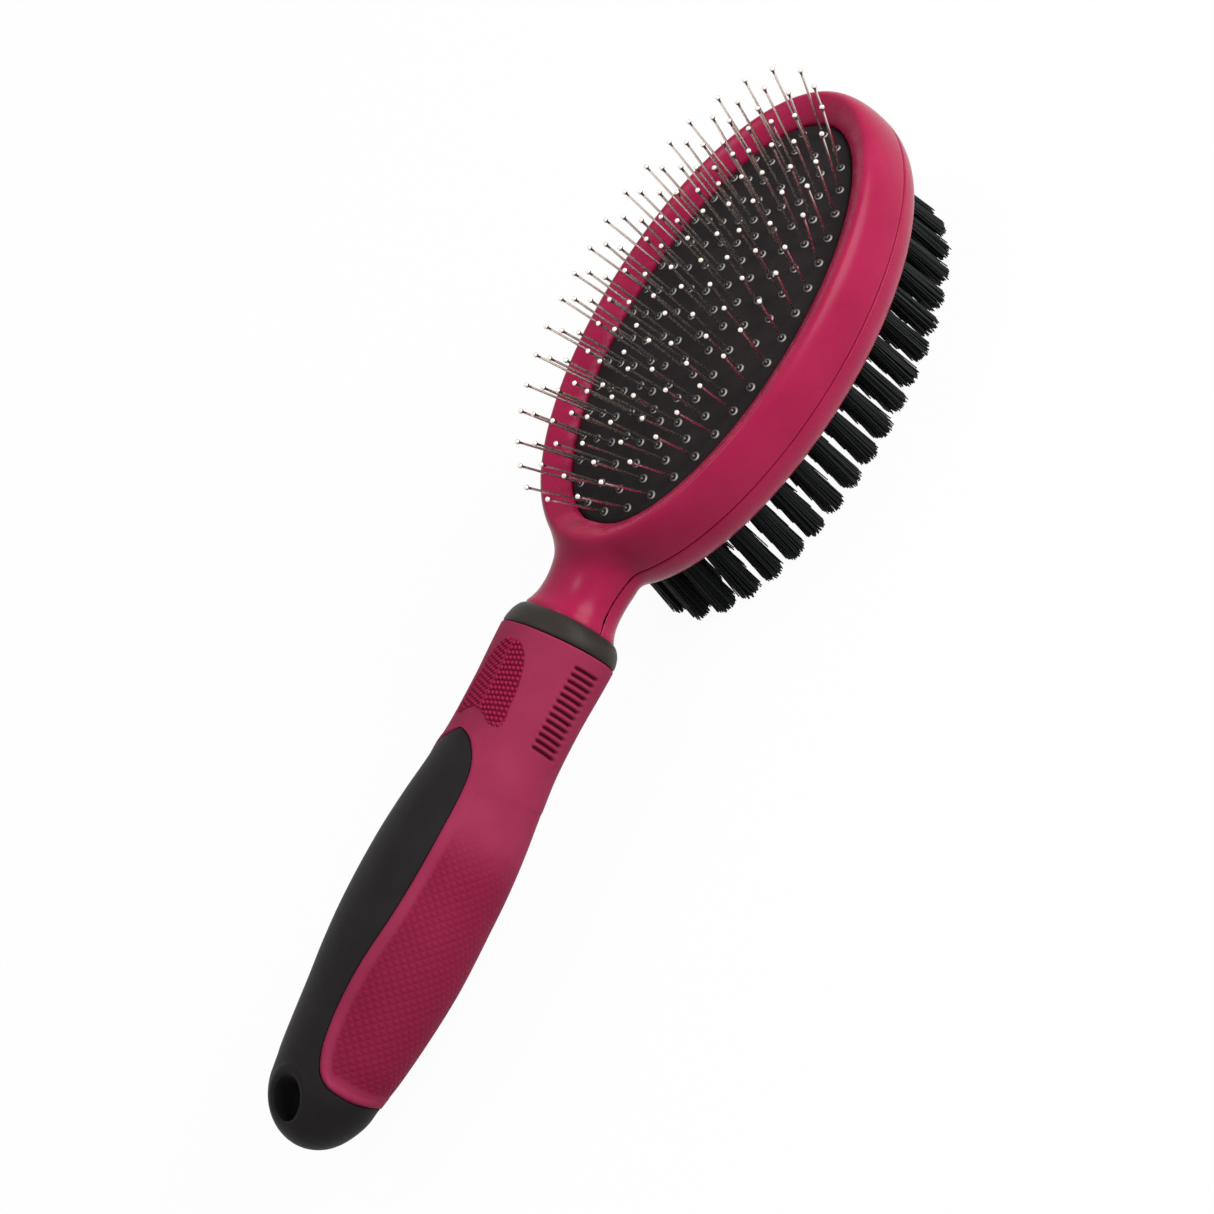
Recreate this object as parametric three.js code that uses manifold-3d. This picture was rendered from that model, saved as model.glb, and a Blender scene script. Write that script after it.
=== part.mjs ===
// Double-sided pet brush: ball-tipped steel pins on an air cushion on one face,
// tufts of nylon bristle on the other, and a soft two-colour handle.
// Millimetres. +X runs to the tip of the head, +Z is the pin side, bristles point to -Z.
// The origin is on the plane of the bristle tips, under the middle of the whole brush.

import * as THREE from 'three';
import { mergeGeometries, mergeVertices } from 'three/addons/utils/BufferGeometryUtils.js';
import Module from 'manifold-3d';

const wasm = await Module();
wasm.setup();

// ---------------------------------------------------------------- driving dimensions

const FIT_GAP = 0.3; // running gap between a piece and the piece that seats it

// head: two moulded shells that meet at a level seam, z = 0 while the pieces are made
const HEAD_LENGTH = 106;
const HEAD_WIDTH = 61;
const SEAM_GAP = 0.3; // fine dark line between the two shells
const SHELL_WALL = 2.6;

// pin-side shell
const RIM_HEIGHT = 10.9; // crest of the rim above the seam
const RIM_CREST_INSET = 4.8; // crest, in from the outline of the head
const LIP_INSET = 7.7; // edge of the opening, in from the outline of the head
const LIP_HEIGHT = 6.7; // edge of the opening, above the seam
const LIP_THICKNESS = 1.8;
const NEST_INSET = 5.6; // wall that locates the cushion's flange
const NEST_DEPTH = 2.9;

// bristle-side shell
const BACK_DEPTH = 8.1;
const BACK_EDGE_INSET = 5.0; // where the rounded side runs out into the flat back
const BACK_LEDGE_INSET = 4.6; // where the inside wall meets the ledge
const BACK_LEDGE_THICKNESS = 2.0;
const BACK_OPENING_INSET = 6.6;

// neck and the tang inside the handle
const NECK_LENGTH = 10.2;
const NECK_ROOT_DEPTH = 5; // how far the neck runs in under the rim
const NECK_ROOT_WIDTH = 20.8;
const NECK_ROOT_RISE = 9.8; // above the middle of the neck, on the pin side
const NECK_ROOT_DROP = 6.4; // below it, on the bristle side
const NECK_TOP_WIDTH = 19.4;
const NECK_TOP_RISE = 8.9;
const NECK_TOP_DROP = 8.0;
const NECK_WAIST_WIDTH = 18.2;
const NECK_WAIST_THICKNESS = 15.8;
const NECK_WAIST_AT = 5; // from the end of the head
const NECK_SHOULDER_WIDTH = 19.2;
const NECK_SHOULDER_THICKNESS = 16.6;
const TANG_WIDTH = 15;
const TANG_THICKNESS = 12.4;
const TANG_LENGTH = 28;
const TANG_END_TAPER = 1.5;
const SOCKET_SPARE = 1.0; // free length past the end of the tang

// air cushion
const CROWN_HEIGHT = 3.0; // middle of the cushion above its edge
const CROWN_POWER = 2.4; // higher is flatter in the middle and steeper at the side
const SKIN_THICKNESS = 1.4;
const FLANGE_THICKNESS = 1.7;
const PIN_SLICE_THICKNESS = 0.7;
const PIN_SLICE_SHARE = 0.95; // size of the slice against the cushion's visible oval

// pins
const PIN_LENGTH = 15.4;
const PIN_RADIUS = 0.5;
const PIN_BALL_RADIUS = 0.85;
const PIN_BALL_HEIGHT = 1.6;
const PIN_PITCH = 5.5; // along a ring of pins
const PIN_RING_PITCH = 4.4; // from ring to ring
const PIN_MARGIN = 2.6; // outermost pins, in from the edge of the cushion
const PIN_FAN_LENGTHWISE = 0.48; // lean in radians at the end of the head
const PIN_FAN_CROSSWISE = 0.49; // lean in radians at the side of the head
const PIN_ROOT = 0.4; // depth of a root in its slice

// tray that closes the air chamber and clamps the cushion's flange
const TRAY_FLOOR = 1.7;
const TRAY_SKIRT_WALL = 2.0;
const TRAY_VENT_RADIUS = 3;

// bristle pad
const PAD_FLANGE_THICKNESS = 2.0;
const PAD_PROUD = 0.6; // face of the pad, out from the back of the shell
const PAD_SLICE_THICKNESS = 1.2;
const BRISTLE_LENGTH = 17.3;
const BRISTLE_RADIUS = 0.55;
const BRISTLE_TIP_RADIUS = 0.45;
const BRISTLES_IN_TUFT = 3;
const TUFT_ROOT_RADIUS = 0.95;
const TUFT_TIP_RADIUS = 1.75;
const TUFT_PITCH = 5.6; // along a ring of tufts
const TUFT_RING_PITCH = 5.7; // from ring to ring
const TUFT_MARGIN = 2.0; // outermost tufts, in from the edge of the pad
const TUFT_FAN = 0.1; // lean in radians at the end of the head

// collar
const COLLAR_WIDTH = 4.0;
const COLLAR_STEP = 0.06; // how far the collar stays inside the mouth of the handle
const COLLAR_ROUND = 1.0; // rounding of the front edge
const COLLAR_LEAN = 0.08; // slope of its plane, which leans back on the pin side
const COLLAR_LEAN_FADE = 25; // distance past the mouth at which the lean has gone

// handle
const HANDLE_LENGTH = 104.8;
const HANDLE_DROP = 5.3; // butt below the line of the head
const HANDLE_ASPECT = 1.2; // breadth over thickness
const MOUTH_THICKNESS = 21.1;
const THROAT_THICKNESS = 20.4;
const THROAT_AT = 16; // from the mouth of the handle
const SWELL_THICKNESS = 25.6;
const SWELL_AT = 55;
const BUTT_THICKNESS = 19.6;
const BUTT_ROUND = 12.5; // length of the rounded end
const GRIP_WALL = 2.2;

// black inlay on both faces, and the butt
const INLAY_START = 23.4; // tip of the petal, from the mouth of the handle
const INLAY_PETAL = 9; // length of the petal's rounded tip
const INLAY_PETAL_REACH = 6; // near edge from the middle line, where the petal's tip ends
const INLAY_WIDEST_REACH = 7.5;
const INLAY_WIDEST_AT = 49;
const INLAY_NARROW_REACH = 4.1;
const INLAY_NARROW_AT = 82;
const INLAY_FAR_SHARE = 0.78; // far edge, as a share of the handle's half breadth
const PANEL_END = 93.2; // lower end of the soft panels, from the mouth
const PANEL_CORNER = 6; // rounding of the near panel's lower corners

// thumb pad on both faces
const THUMB_START = 3.4; // from the mouth of the handle
const THUMB_LENGTH = 18.5;
const THUMB_WIDTH = 13.2;
const THUMB_NOTCH = 2; // hollow in its lower edge, over the inlay's tip
const THUMB_PROUD = 0.45;

// finger grooves on both sides
const GROOVE_COUNT = 13;
const GROOVE_PITCH = 1.39;
const GROOVE_START = 4.1; // first groove, from the mouth
const GROOVE_WIDTH = 0.7;
const GROOVE_DEPTH = 0.9;
const GROOVE_LENGTH = 6.2;
const GROOVE_RISE = 1.3; // middle of a groove above the handle's centre line

// hang hole
const HANG_HOLE_RADIUS = 3.6;
const HANG_HOLE_FROM_END = 6.8;

// facets
const OVAL_SIDES = 38;
const HANDLE_SIDES = 28;
const HANDLE_STEPS = 11;
const HOLE_SIDES = 24;

// ---------------------------------------------------------------- places that follow

const HALF_LENGTH = HEAD_LENGTH / 2;
const HALF_WIDTH = HEAD_WIDTH / 2;
const HEAD_END = -HALF_LENGTH;
const NECK_END = HEAD_END - NECK_LENGTH;
const COLLAR_FRONT = NECK_END - FIT_GAP;
const COLLAR_BACK = COLLAR_FRONT - COLLAR_WIDTH;
const HANDLE_FRONT = COLLAR_BACK - FIT_GAP;
const BUTT_END = HANDLE_FRONT - HANDLE_LENGTH;
const LIP_UNDERSIDE = LIP_HEIGHT - LIP_THICKNESS;
const FLANGE_TOP = LIP_UNDERSIDE - FIT_GAP;
const FLANGE_BOTTOM = FLANGE_TOP - FLANGE_THICKNESS;
const FLANGE_INSET = NEST_INSET + FIT_GAP;
const CUSHION_INSET = LIP_INSET + FIT_GAP;
const TRAY_TOP = FLANGE_BOTTOM - FIT_GAP;
const TRAY_FLOOR_BOTTOM = TRAY_TOP - TRAY_FLOOR;
const LEDGE_TOP = -(BACK_DEPTH - BACK_LEDGE_THICKNESS);
const PAD_FLANGE_BOTTOM = LEDGE_TOP + FIT_GAP;
const PAD_FLANGE_TOP = PAD_FLANGE_BOTTOM + PAD_FLANGE_THICKNESS;
const PAD_FLANGE_INSET = BACK_LEDGE_INSET + FIT_GAP;
const PAD_INSET = BACK_OPENING_INSET + FIT_GAP;
const PAD_FACE = -(BACK_DEPTH + PAD_PROUD);
const PAD_SLICE_TOP = PAD_FACE + PAD_SLICE_THICKNESS;
const BRISTLE_TIPS = PAD_FACE - BRISTLE_LENGTH;
const TRAY_SKIRT_INSET = FLANGE_INSET + FIT_GAP;
const COLLAR_THICKNESS = MOUTH_THICKNESS - 2 * COLLAR_STEP;
const COLLAR_BREADTH = MOUTH_THICKNESS * HANDLE_ASPECT - 2 * COLLAR_STEP;
const CUT_MARGIN = 5; // how far a cutting tool runs past what it cuts

// ---------------------------------------------------------------- materials

const raspberryGloss = new THREE.MeshStandardMaterial({ color: 0xb03a58, roughness: 0.35, metalness: 0 });
const raspberrySoft = new THREE.MeshStandardMaterial({ color: 0x8a2848, roughness: 0.75, metalness: 0 });
const blackSoft = new THREE.MeshStandardMaterial({ color: 0x2d2d2d, roughness: 0.7, metalness: 0 });
const blackRubber = new THREE.MeshStandardMaterial({ color: 0x242223, roughness: 0.85, metalness: 0 });
const blackPlastic = new THREE.MeshStandardMaterial({ color: 0x1d1c1c, roughness: 0.5, metalness: 0 });
const steel = new THREE.MeshStandardMaterial({ color: 0xb9b6b0, roughness: 0.3, metalness: 1 });
const nylon = new THREE.MeshStandardMaterial({ color: 0x171616, roughness: 0.55, metalness: 0 });

// ---------------------------------------------------------------- solids

function toSolid(geometry) {
  const bare = geometry.clone();
  bare.deleteAttribute('normal');
  bare.deleteAttribute('uv');
  const merged = mergeVertices(bare, 1e-4);
  return new wasm.Manifold(new wasm.Mesh({
    numProp: 3,
    vertProperties: new Float32Array(merged.attributes.position.array),
    triVerts: new Uint32Array(merged.index.array),
  }));
}

function toGeometry(solid) {
  const mesh = solid.getMesh();
  const geometry = new THREE.BufferGeometry();
  geometry.setAttribute('position', new THREE.BufferAttribute(new Float32Array(mesh.vertProperties), 3));
  geometry.setIndex(new THREE.BufferAttribute(new Uint32Array(mesh.triVerts), 1));
  geometry.computeVertexNormals();
  return geometry;
}

// Six times the signed volume of a closed mesh: negative when its faces point inward.
function signedVolume(points, faces) {
  const cross = new THREE.Vector3();
  return faces.reduce((sum, [a, b, c]) => sum + points[a].dot(cross.crossVectors(points[b], points[c])), 0);
}

// Skins a run of closed rings, each with the same number of points, and closes both ends
// with a fan about the middle of its ring, or about a tip beyond the last ring.
function loft(rings, tip) {
  const sides = rings[0].length;
  const points = rings.flat();
  const faces = [];
  for (let ring = 0; ring < rings.length - 1; ring += 1) {
    for (let side = 0; side < sides; side += 1) {
      const here = ring * sides + side;
      const next = ring * sides + ((side + 1) % sides);
      faces.push([here, next, next + sides], [here, next + sides, here + sides]);
    }
  }
  const middleOf = (ring) => ring.reduce((sum, p) => sum.add(p), new THREE.Vector3()).divideScalar(sides);
  const first = points.push(middleOf(rings[0])) - 1;
  const last = points.push(tip ?? middleOf(rings[rings.length - 1])) - 1;
  const lastRing = (rings.length - 1) * sides;
  for (let side = 0; side < sides; side += 1) {
    const next = (side + 1) % sides;
    faces.push([first, next, side], [last, lastRing + side, lastRing + next]);
  }
  const outward = signedVolume(points, faces) > 0;
  const geometry = new THREE.BufferGeometry().setFromPoints(points);
  geometry.setIndex(faces.flatMap(([a, b, c]) => (outward ? [a, b, c] : [a, c, b])));
  return geometry;
}

// Ring of the head: an oval at one height.
function ovalRing(halfLength, halfWidth, z) {
  return Array.from({ length: OVAL_SIDES }, (_, side) => {
    const angle = (side / OVAL_SIDES) * 2 * Math.PI;
    return new THREE.Vector3(halfLength * Math.cos(angle), halfWidth * Math.sin(angle), z);
  });
}

const insetRing = (inset, z) => ovalRing(HALF_LENGTH - inset, HALF_WIDTH - inset, z);
const ovalBlock = (inset, low, high) => toSolid(loft([insetRing(inset, low), insetRing(inset, high)]));

// Ring of the neck or handle: an oval across the line of the handle, in a plane that leans
// back near the collar.
function crossRing(x, halfWidth, halfThickness) {
  return Array.from({ length: HANDLE_SIDES }, (_, side) => {
    const angle = (side / HANDLE_SIDES) * 2 * Math.PI;
    const rise = halfThickness * Math.sin(angle);
    return new THREE.Vector3(x - leanAt(x) * rise, halfWidth * Math.cos(angle), lineOfHandle(x) + rise);
  });
}

function lineOfHandle(x) {
  return x > HEAD_END ? 0 : (-HANDLE_DROP * (HEAD_END - x)) / (HEAD_END - BUTT_END);
}

// Slope of a ring's plane: full at the collar, none at the head and far down the handle.
function leanAt(x) {
  const upTheNeck = (HEAD_END - x) / NECK_LENGTH;
  const downTheHandle = 1 - (HANDLE_FRONT - x) / COLLAR_LEAN_FADE;
  return COLLAR_LEAN * Math.max(0, Math.min(1, upTheNeck, downTheHandle));
}

function halfSpace(above) {
  const size = 2 * (HALF_LENGTH - BUTT_END);
  const block = new THREE.BoxGeometry(size, size, size);
  const shift = size / 2 + SEAM_GAP / 2;
  block.translate(0, 0, above ? shift : -shift);
  return toSolid(block);
}

// ---------------------------------------------------------------- head shells

// Quarter round between the seam and the far edge of a shell, as rings.
function roundedSide(inset, depth, startInset, endHeight, steps) {
  return Array.from({ length: steps + 1 }, (_, step) => {
    const turn = (step / steps) * (Math.PI / 2);
    return insetRing(startInset + inset * (1 - Math.cos(turn)), endHeight + depth * Math.sin(turn));
  });
}

function rimOuter() {
  const side = roundedSide(RIM_CREST_INSET, RIM_HEIGHT - SEAM_GAP / 2, 0, SEAM_GAP / 2, 6);
  const fall = Array.from({ length: 3 }, (_, step) => {
    const turn = ((step + 1) / 3) * (Math.PI / 2);
    const inset = RIM_CREST_INSET + (LIP_INSET - RIM_CREST_INSET) * Math.sin(turn);
    return insetRing(inset, LIP_HEIGHT + (RIM_HEIGHT - LIP_HEIGHT) * Math.cos(turn));
  });
  return toSolid(loft([...side, ...fall]));
}

function backOuter() {
  return toSolid(loft(roundedSide(BACK_EDGE_INSET, -(BACK_DEPTH - SEAM_GAP / 2), 0, -SEAM_GAP / 2, 6)));
}

function backHollow() {
  const wall = roundedSide(BACK_LEDGE_INSET - SHELL_WALL, LEDGE_TOP, SHELL_WALL, 0, 5);
  return toSolid(loft([insetRing(SHELL_WALL, CUT_MARGIN), ...wall]));
}

// Neck between the head and the collar, and the tang that runs on into the handle, each as
// half thick as the neck is on the side that is wanted.
function neckAndTang(rootReach, topReach) {
  const widths = new THREE.SplineCurve([
    new THREE.Vector2(HEAD_END + NECK_ROOT_DEPTH, NECK_ROOT_WIDTH / 2),
    new THREE.Vector2(HEAD_END, NECK_TOP_WIDTH / 2),
    new THREE.Vector2(HEAD_END - NECK_WAIST_AT, NECK_WAIST_WIDTH / 2),
    new THREE.Vector2(NECK_END, NECK_SHOULDER_WIDTH / 2),
  ]);
  const thicknesses = new THREE.SplineCurve([
    new THREE.Vector2(HEAD_END + NECK_ROOT_DEPTH, rootReach),
    new THREE.Vector2(HEAD_END, topReach),
    new THREE.Vector2(HEAD_END - NECK_WAIST_AT, NECK_WAIST_THICKNESS / 2),
    new THREE.Vector2(NECK_END, NECK_SHOULDER_THICKNESS / 2),
  ]);
  const thicknessAt = thicknesses.getPoints(9);
  const rings = widths.getPoints(9).map((p, step) => crossRing(p.x, p.y, thicknessAt[step].y));
  return toSolid(loft(rings)).add(tang(0, 0));
}

function tang(clearance, spare) {
  const start = NECK_END + (clearance > 0 ? 0 : CUT_MARGIN);
  const end = NECK_END - TANG_LENGTH - spare;
  const halfWidth = TANG_WIDTH / 2 + clearance;
  const halfThickness = TANG_THICKNESS / 2 + clearance;
  return toSolid(loft([
    crossRing(start, halfWidth, halfThickness),
    crossRing(end + TANG_END_TAPER, halfWidth, halfThickness),
    crossRing(end, halfWidth - TANG_END_TAPER / 2, halfThickness - TANG_END_TAPER / 2),
  ]));
}

function frontShell() {
  const neck = neckAndTang(NECK_ROOT_RISE, NECK_TOP_RISE).intersect(halfSpace(true));
  const hollow = ovalBlock(SHELL_WALL, -CUT_MARGIN, LIP_UNDERSIDE - NEST_DEPTH);
  const nest = ovalBlock(NEST_INSET, -CUT_MARGIN, LIP_UNDERSIDE);
  const opening = ovalBlock(LIP_INSET, -CUT_MARGIN, RIM_HEIGHT + CUT_MARGIN);
  return rimOuter().add(neck).subtract(hollow).subtract(nest).subtract(opening);
}

function backShell() {
  const neck = neckAndTang(NECK_ROOT_DROP, NECK_TOP_DROP).intersect(halfSpace(false));
  const opening = ovalBlock(BACK_OPENING_INSET, -BACK_DEPTH - CUT_MARGIN, CUT_MARGIN);
  return backOuter().add(neck).subtract(backHollow()).subtract(opening);
}

// ---------------------------------------------------------------- cushion and pins

const CUSHION_HALF_LENGTH = HALF_LENGTH - CUSHION_INSET;
const CUSHION_HALF_WIDTH = HALF_WIDTH - CUSHION_INSET;

// Height of the cushion's crown at a share of its visible oval, 0 in the middle, 1 at the edge.
const crownAt = (share) => LIP_HEIGHT + CROWN_HEIGHT * (1 - share ** CROWN_POWER);
const crownRing = (share, below) => ovalRing(
  CUSHION_HALF_LENGTH * share,
  CUSHION_HALF_WIDTH * share,
  crownAt(share) - below,
);
const CROWN_SHARES = [0.2, 0.5, 0.76, PIN_SLICE_SHARE];

function cushion() {
  const seat = PIN_SLICE_THICKNESS + FIT_GAP;
  const under = seat + SKIN_THICKNESS;
  const seatShare = PIN_SLICE_SHARE + FIT_GAP / CUSHION_HALF_WIDTH;
  const wallInset = CUSHION_INSET + SKIN_THICKNESS;
  return toSolid(loft([
    ...CROWN_SHARES.slice(0, -1).map((share) => crownRing(share, seat)),
    crownRing(seatShare, seat),
    crownRing(seatShare, 0),
    crownRing(1, 0),
    insetRing(CUSHION_INSET, FLANGE_TOP),
    insetRing(FLANGE_INSET, FLANGE_TOP),
    insetRing(FLANGE_INSET, FLANGE_BOTTOM),
    insetRing(wallInset, FLANGE_BOTTOM),
    insetRing(wallInset, crownAt(1) - under),
    ...CROWN_SHARES.slice(0, -1).reverse().map((share) => crownRing(share, under)),
  ]));
}

// Places evenly spaced along ovals one inside the other, from the outermost inward.
function placesInRings(outermost, ringPitch, pitch) {
  const places = [];
  for (let inset = outermost; inset < HALF_WIDTH - ringPitch / 2; inset += ringPitch) {
    const oval = new THREE.EllipseCurve(0, 0, HALF_LENGTH - inset, HALF_WIDTH - inset);
    places.push(...oval.getSpacedPoints(Math.round(oval.getLength() / pitch)).slice(1));
  }
  return places;
}

// Direction of a pin: straight up in the middle, leaning outward towards the rim.
function fanned(x, y) {
  const along = Math.tan((PIN_FAN_LENGTHWISE * x) / HALF_LENGTH);
  const across = Math.tan((PIN_FAN_CROSSWISE * y) / HALF_WIDTH);
  return new THREE.Vector3(along, across, 1).normalize();
}

// Three-sided strand from its root along a direction, with one edge turned to +X or -X so
// that the field is the same on both sides of the brush.
function strand(profile, root, direction) {
  const geometry = new THREE.LatheGeometry(profile, 3);
  const across = new THREE.Vector3(0, 1, 0).cross(direction).normalize();
  const side = new THREE.Vector3().crossVectors(direction, across);
  geometry.applyMatrix4(new THREE.Matrix4().makeBasis(side, direction, across).setPosition(root));
  return geometry;
}

function pinProfile() {
  return [
    new THREE.Vector2(0, -PIN_ROOT),
    new THREE.Vector2(PIN_RADIUS, -PIN_ROOT),
    new THREE.Vector2(PIN_RADIUS, PIN_LENGTH - PIN_BALL_HEIGHT),
    new THREE.Vector2(PIN_BALL_RADIUS, PIN_LENGTH - PIN_BALL_HEIGHT / 2),
    new THREE.Vector2(0, PIN_LENGTH),
  ];
}

function pinField() {
  const places = placesInRings(CUSHION_INSET + PIN_MARGIN, PIN_RING_PITCH, PIN_PITCH);
  const pins = places.map(({ x, y }) => {
    const share = Math.hypot(x / CUSHION_HALF_LENGTH, y / CUSHION_HALF_WIDTH);
    return strand(pinProfile(), new THREE.Vector3(x, y, crownAt(share)), fanned(x, y));
  });
  const slice = loft([
    ...CROWN_SHARES.map((share) => crownRing(share, 0)),
    ...[...CROWN_SHARES].reverse().map((share) => crownRing(share, PIN_SLICE_THICKNESS)),
  ]);
  return toSolid(mergeGeometries(pins.map(bareGeometry))).add(toSolid(slice));
}

function bareGeometry(geometry) {
  const bare = geometry.clone();
  bare.deleteAttribute('normal');
  bare.deleteAttribute('uv');
  return bare;
}

// Floor under the air chamber, with a vent, on a skirt that stands on the bristle pad.
function cushionTray() {
  const floor = ovalBlock(FLANGE_INSET, TRAY_FLOOR_BOTTOM, TRAY_TOP);
  const skirt = ovalBlock(TRAY_SKIRT_INSET, PAD_FLANGE_TOP + FIT_GAP, TRAY_TOP - TRAY_FLOOR / 2);
  const inside = ovalBlock(TRAY_SKIRT_INSET + TRAY_SKIRT_WALL, PAD_FLANGE_TOP - CUT_MARGIN, TRAY_FLOOR_BOTTOM);
  const vent = new THREE.CylinderGeometry(TRAY_VENT_RADIUS, TRAY_VENT_RADIUS, 2 * HALF_WIDTH, HOLE_SIDES / 2);
  vent.rotateX(Math.PI / 2);
  return floor.add(skirt).subtract(inside).subtract(toSolid(vent));
}

// ---------------------------------------------------------------- bristle pad

function bristlePlate() {
  const flange = ovalBlock(PAD_FLANGE_INSET, PAD_FLANGE_BOTTOM, PAD_FLANGE_TOP);
  const boss = ovalBlock(PAD_INSET, PAD_SLICE_TOP + FIT_GAP, PAD_FLANGE_TOP);
  return flange.add(boss);
}

// One strand of a tuft, long enough to be trimmed level with the rest at the tips.
function bristle(x, y, turn) {
  const lean = new THREE.Vector3(Math.tan((TUFT_FAN * x) / HALF_LENGTH), 0, -1).normalize();
  const around = new THREE.Vector3(Math.cos(turn), Math.sin(turn), 0);
  const root = new THREE.Vector3(x, y, PAD_FACE).addScaledVector(around, TUFT_ROOT_RADIUS);
  const spread = (TUFT_TIP_RADIUS - TUFT_ROOT_RADIUS) / BRISTLE_LENGTH;
  const direction = lean.addScaledVector(around, spread).normalize();
  const length = (BRISTLE_LENGTH + 2 * BRISTLE_RADIUS) / -direction.z;
  const profile = [
    new THREE.Vector2(0, -PAD_SLICE_THICKNESS / 2),
    new THREE.Vector2(BRISTLE_RADIUS, -PAD_SLICE_THICKNESS / 2),
    new THREE.Vector2(BRISTLE_TIP_RADIUS, length),
    new THREE.Vector2(0, length),
  ];
  return strand(profile, root, direction);
}

function bristleField() {
  const places = placesInRings(PAD_INSET + TUFT_MARGIN, TUFT_RING_PITCH, TUFT_PITCH);
  const strands = places.flatMap(({ x, y }) => Array.from(
    { length: BRISTLES_IN_TUFT },
    (_, strandIndex) => bristle(x, y, (strandIndex / BRISTLES_IN_TUFT) * 2 * Math.PI),
  ));
  const trim = ovalBlock(-CUT_MARGIN, BRISTLE_TIPS - CUT_MARGIN, BRISTLE_TIPS);
  const slice = ovalBlock(PAD_INSET, PAD_FACE, PAD_SLICE_TOP);
  return toSolid(mergeGeometries(strands.map(bareGeometry))).subtract(trim).add(slice);
}

// ---------------------------------------------------------------- collar and handle

function collarRing() {
  const halfBreadth = COLLAR_BREADTH / 2;
  const halfThickness = COLLAR_THICKNESS / 2;
  const band = loft([
    crossRing(COLLAR_FRONT, halfBreadth - 2 * COLLAR_ROUND, halfThickness - 2 * COLLAR_ROUND),
    crossRing(COLLAR_FRONT - COLLAR_ROUND * 0.4, halfBreadth - COLLAR_ROUND, halfThickness - COLLAR_ROUND),
    crossRing(COLLAR_FRONT - COLLAR_ROUND * 1.2, halfBreadth - COLLAR_ROUND * 0.2, halfThickness - COLLAR_ROUND * 0.2),
    crossRing((COLLAR_FRONT + COLLAR_BACK) / 2, halfBreadth, halfThickness),
    crossRing(COLLAR_BACK, halfBreadth - COLLAR_ROUND * 0.2, halfThickness - COLLAR_ROUND * 0.2),
  ]);
  return toSolid(band).subtract(tang(FIT_GAP, SOCKET_SPARE).add(tangEntry()));
}

// Straight lead-in so that the tang's clearance runs right through the collar's front face.
function tangEntry() {
  return toSolid(loft([
    crossRing(NECK_END + CUT_MARGIN, TANG_WIDTH / 2 + FIT_GAP, TANG_THICKNESS / 2 + FIT_GAP),
    crossRing(COLLAR_BACK, TANG_WIDTH / 2 + FIT_GAP, TANG_THICKNESS / 2 + FIT_GAP),
  ]));
}

// Half thickness of the handle against the distance from its mouth.
const handleProfile = new THREE.SplineCurve([
  new THREE.Vector2(0, MOUTH_THICKNESS / 2),
  new THREE.Vector2(THROAT_AT, THROAT_THICKNESS / 2),
  new THREE.Vector2(SWELL_AT, SWELL_THICKNESS / 2),
  new THREE.Vector2(HANDLE_LENGTH - BUTT_ROUND, BUTT_THICKNESS / 2),
]);

function halfThicknessAt(distance) {
  const points = handleProfile.getPoints(200);
  const after = points.findIndex((p) => p.x >= distance);
  if (after <= 0) return points[after === 0 ? 0 : points.length - 1].y;
  const share = (distance - points[after - 1].x) / (points[after].x - points[after - 1].x);
  return points[after - 1].y + share * (points[after].y - points[after - 1].y);
}

// Rings of the handle's form, drawn in all round by an inset, from its mouth to a distance.
function handleRings(inset, farthest) {
  const along = handleProfile.getPoints(HANDLE_STEPS).filter((p) => p.x < farthest);
  return along.map((p) => crossRing(HANDLE_FRONT - p.x, p.y * HANDLE_ASPECT - inset, p.y - inset));
}

function handleOuter() {
  const endShares = [0, 0.35, 0.62, 0.83, 0.95];
  const roundEnd = endShares.map((share) => {
    const half = (BUTT_THICKNESS / 2) * Math.sqrt(1 - share ** 2);
    return crossRing(BUTT_END + BUTT_ROUND * (1 - share), half * HANDLE_ASPECT, half);
  });
  const tip = new THREE.Vector3(BUTT_END, 0, lineOfHandle(BUTT_END));
  return toSolid(loft([...handleRings(0, HANDLE_LENGTH - BUTT_ROUND), ...roundEnd], tip));
}

// Inside of the soft sleeve, or with more inset the outside of the core that fills it.
function handleInner(inset, overrun) {
  const mouth = handleRings(inset, HANDLE_LENGTH)[0].map((p) => p.clone().setX(p.x + overrun));
  return toSolid(loft([mouth, ...handleRings(inset, PANEL_END + 2 * GRIP_WALL).slice(overrun > 0 ? 0 : 1)]));
}

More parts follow.
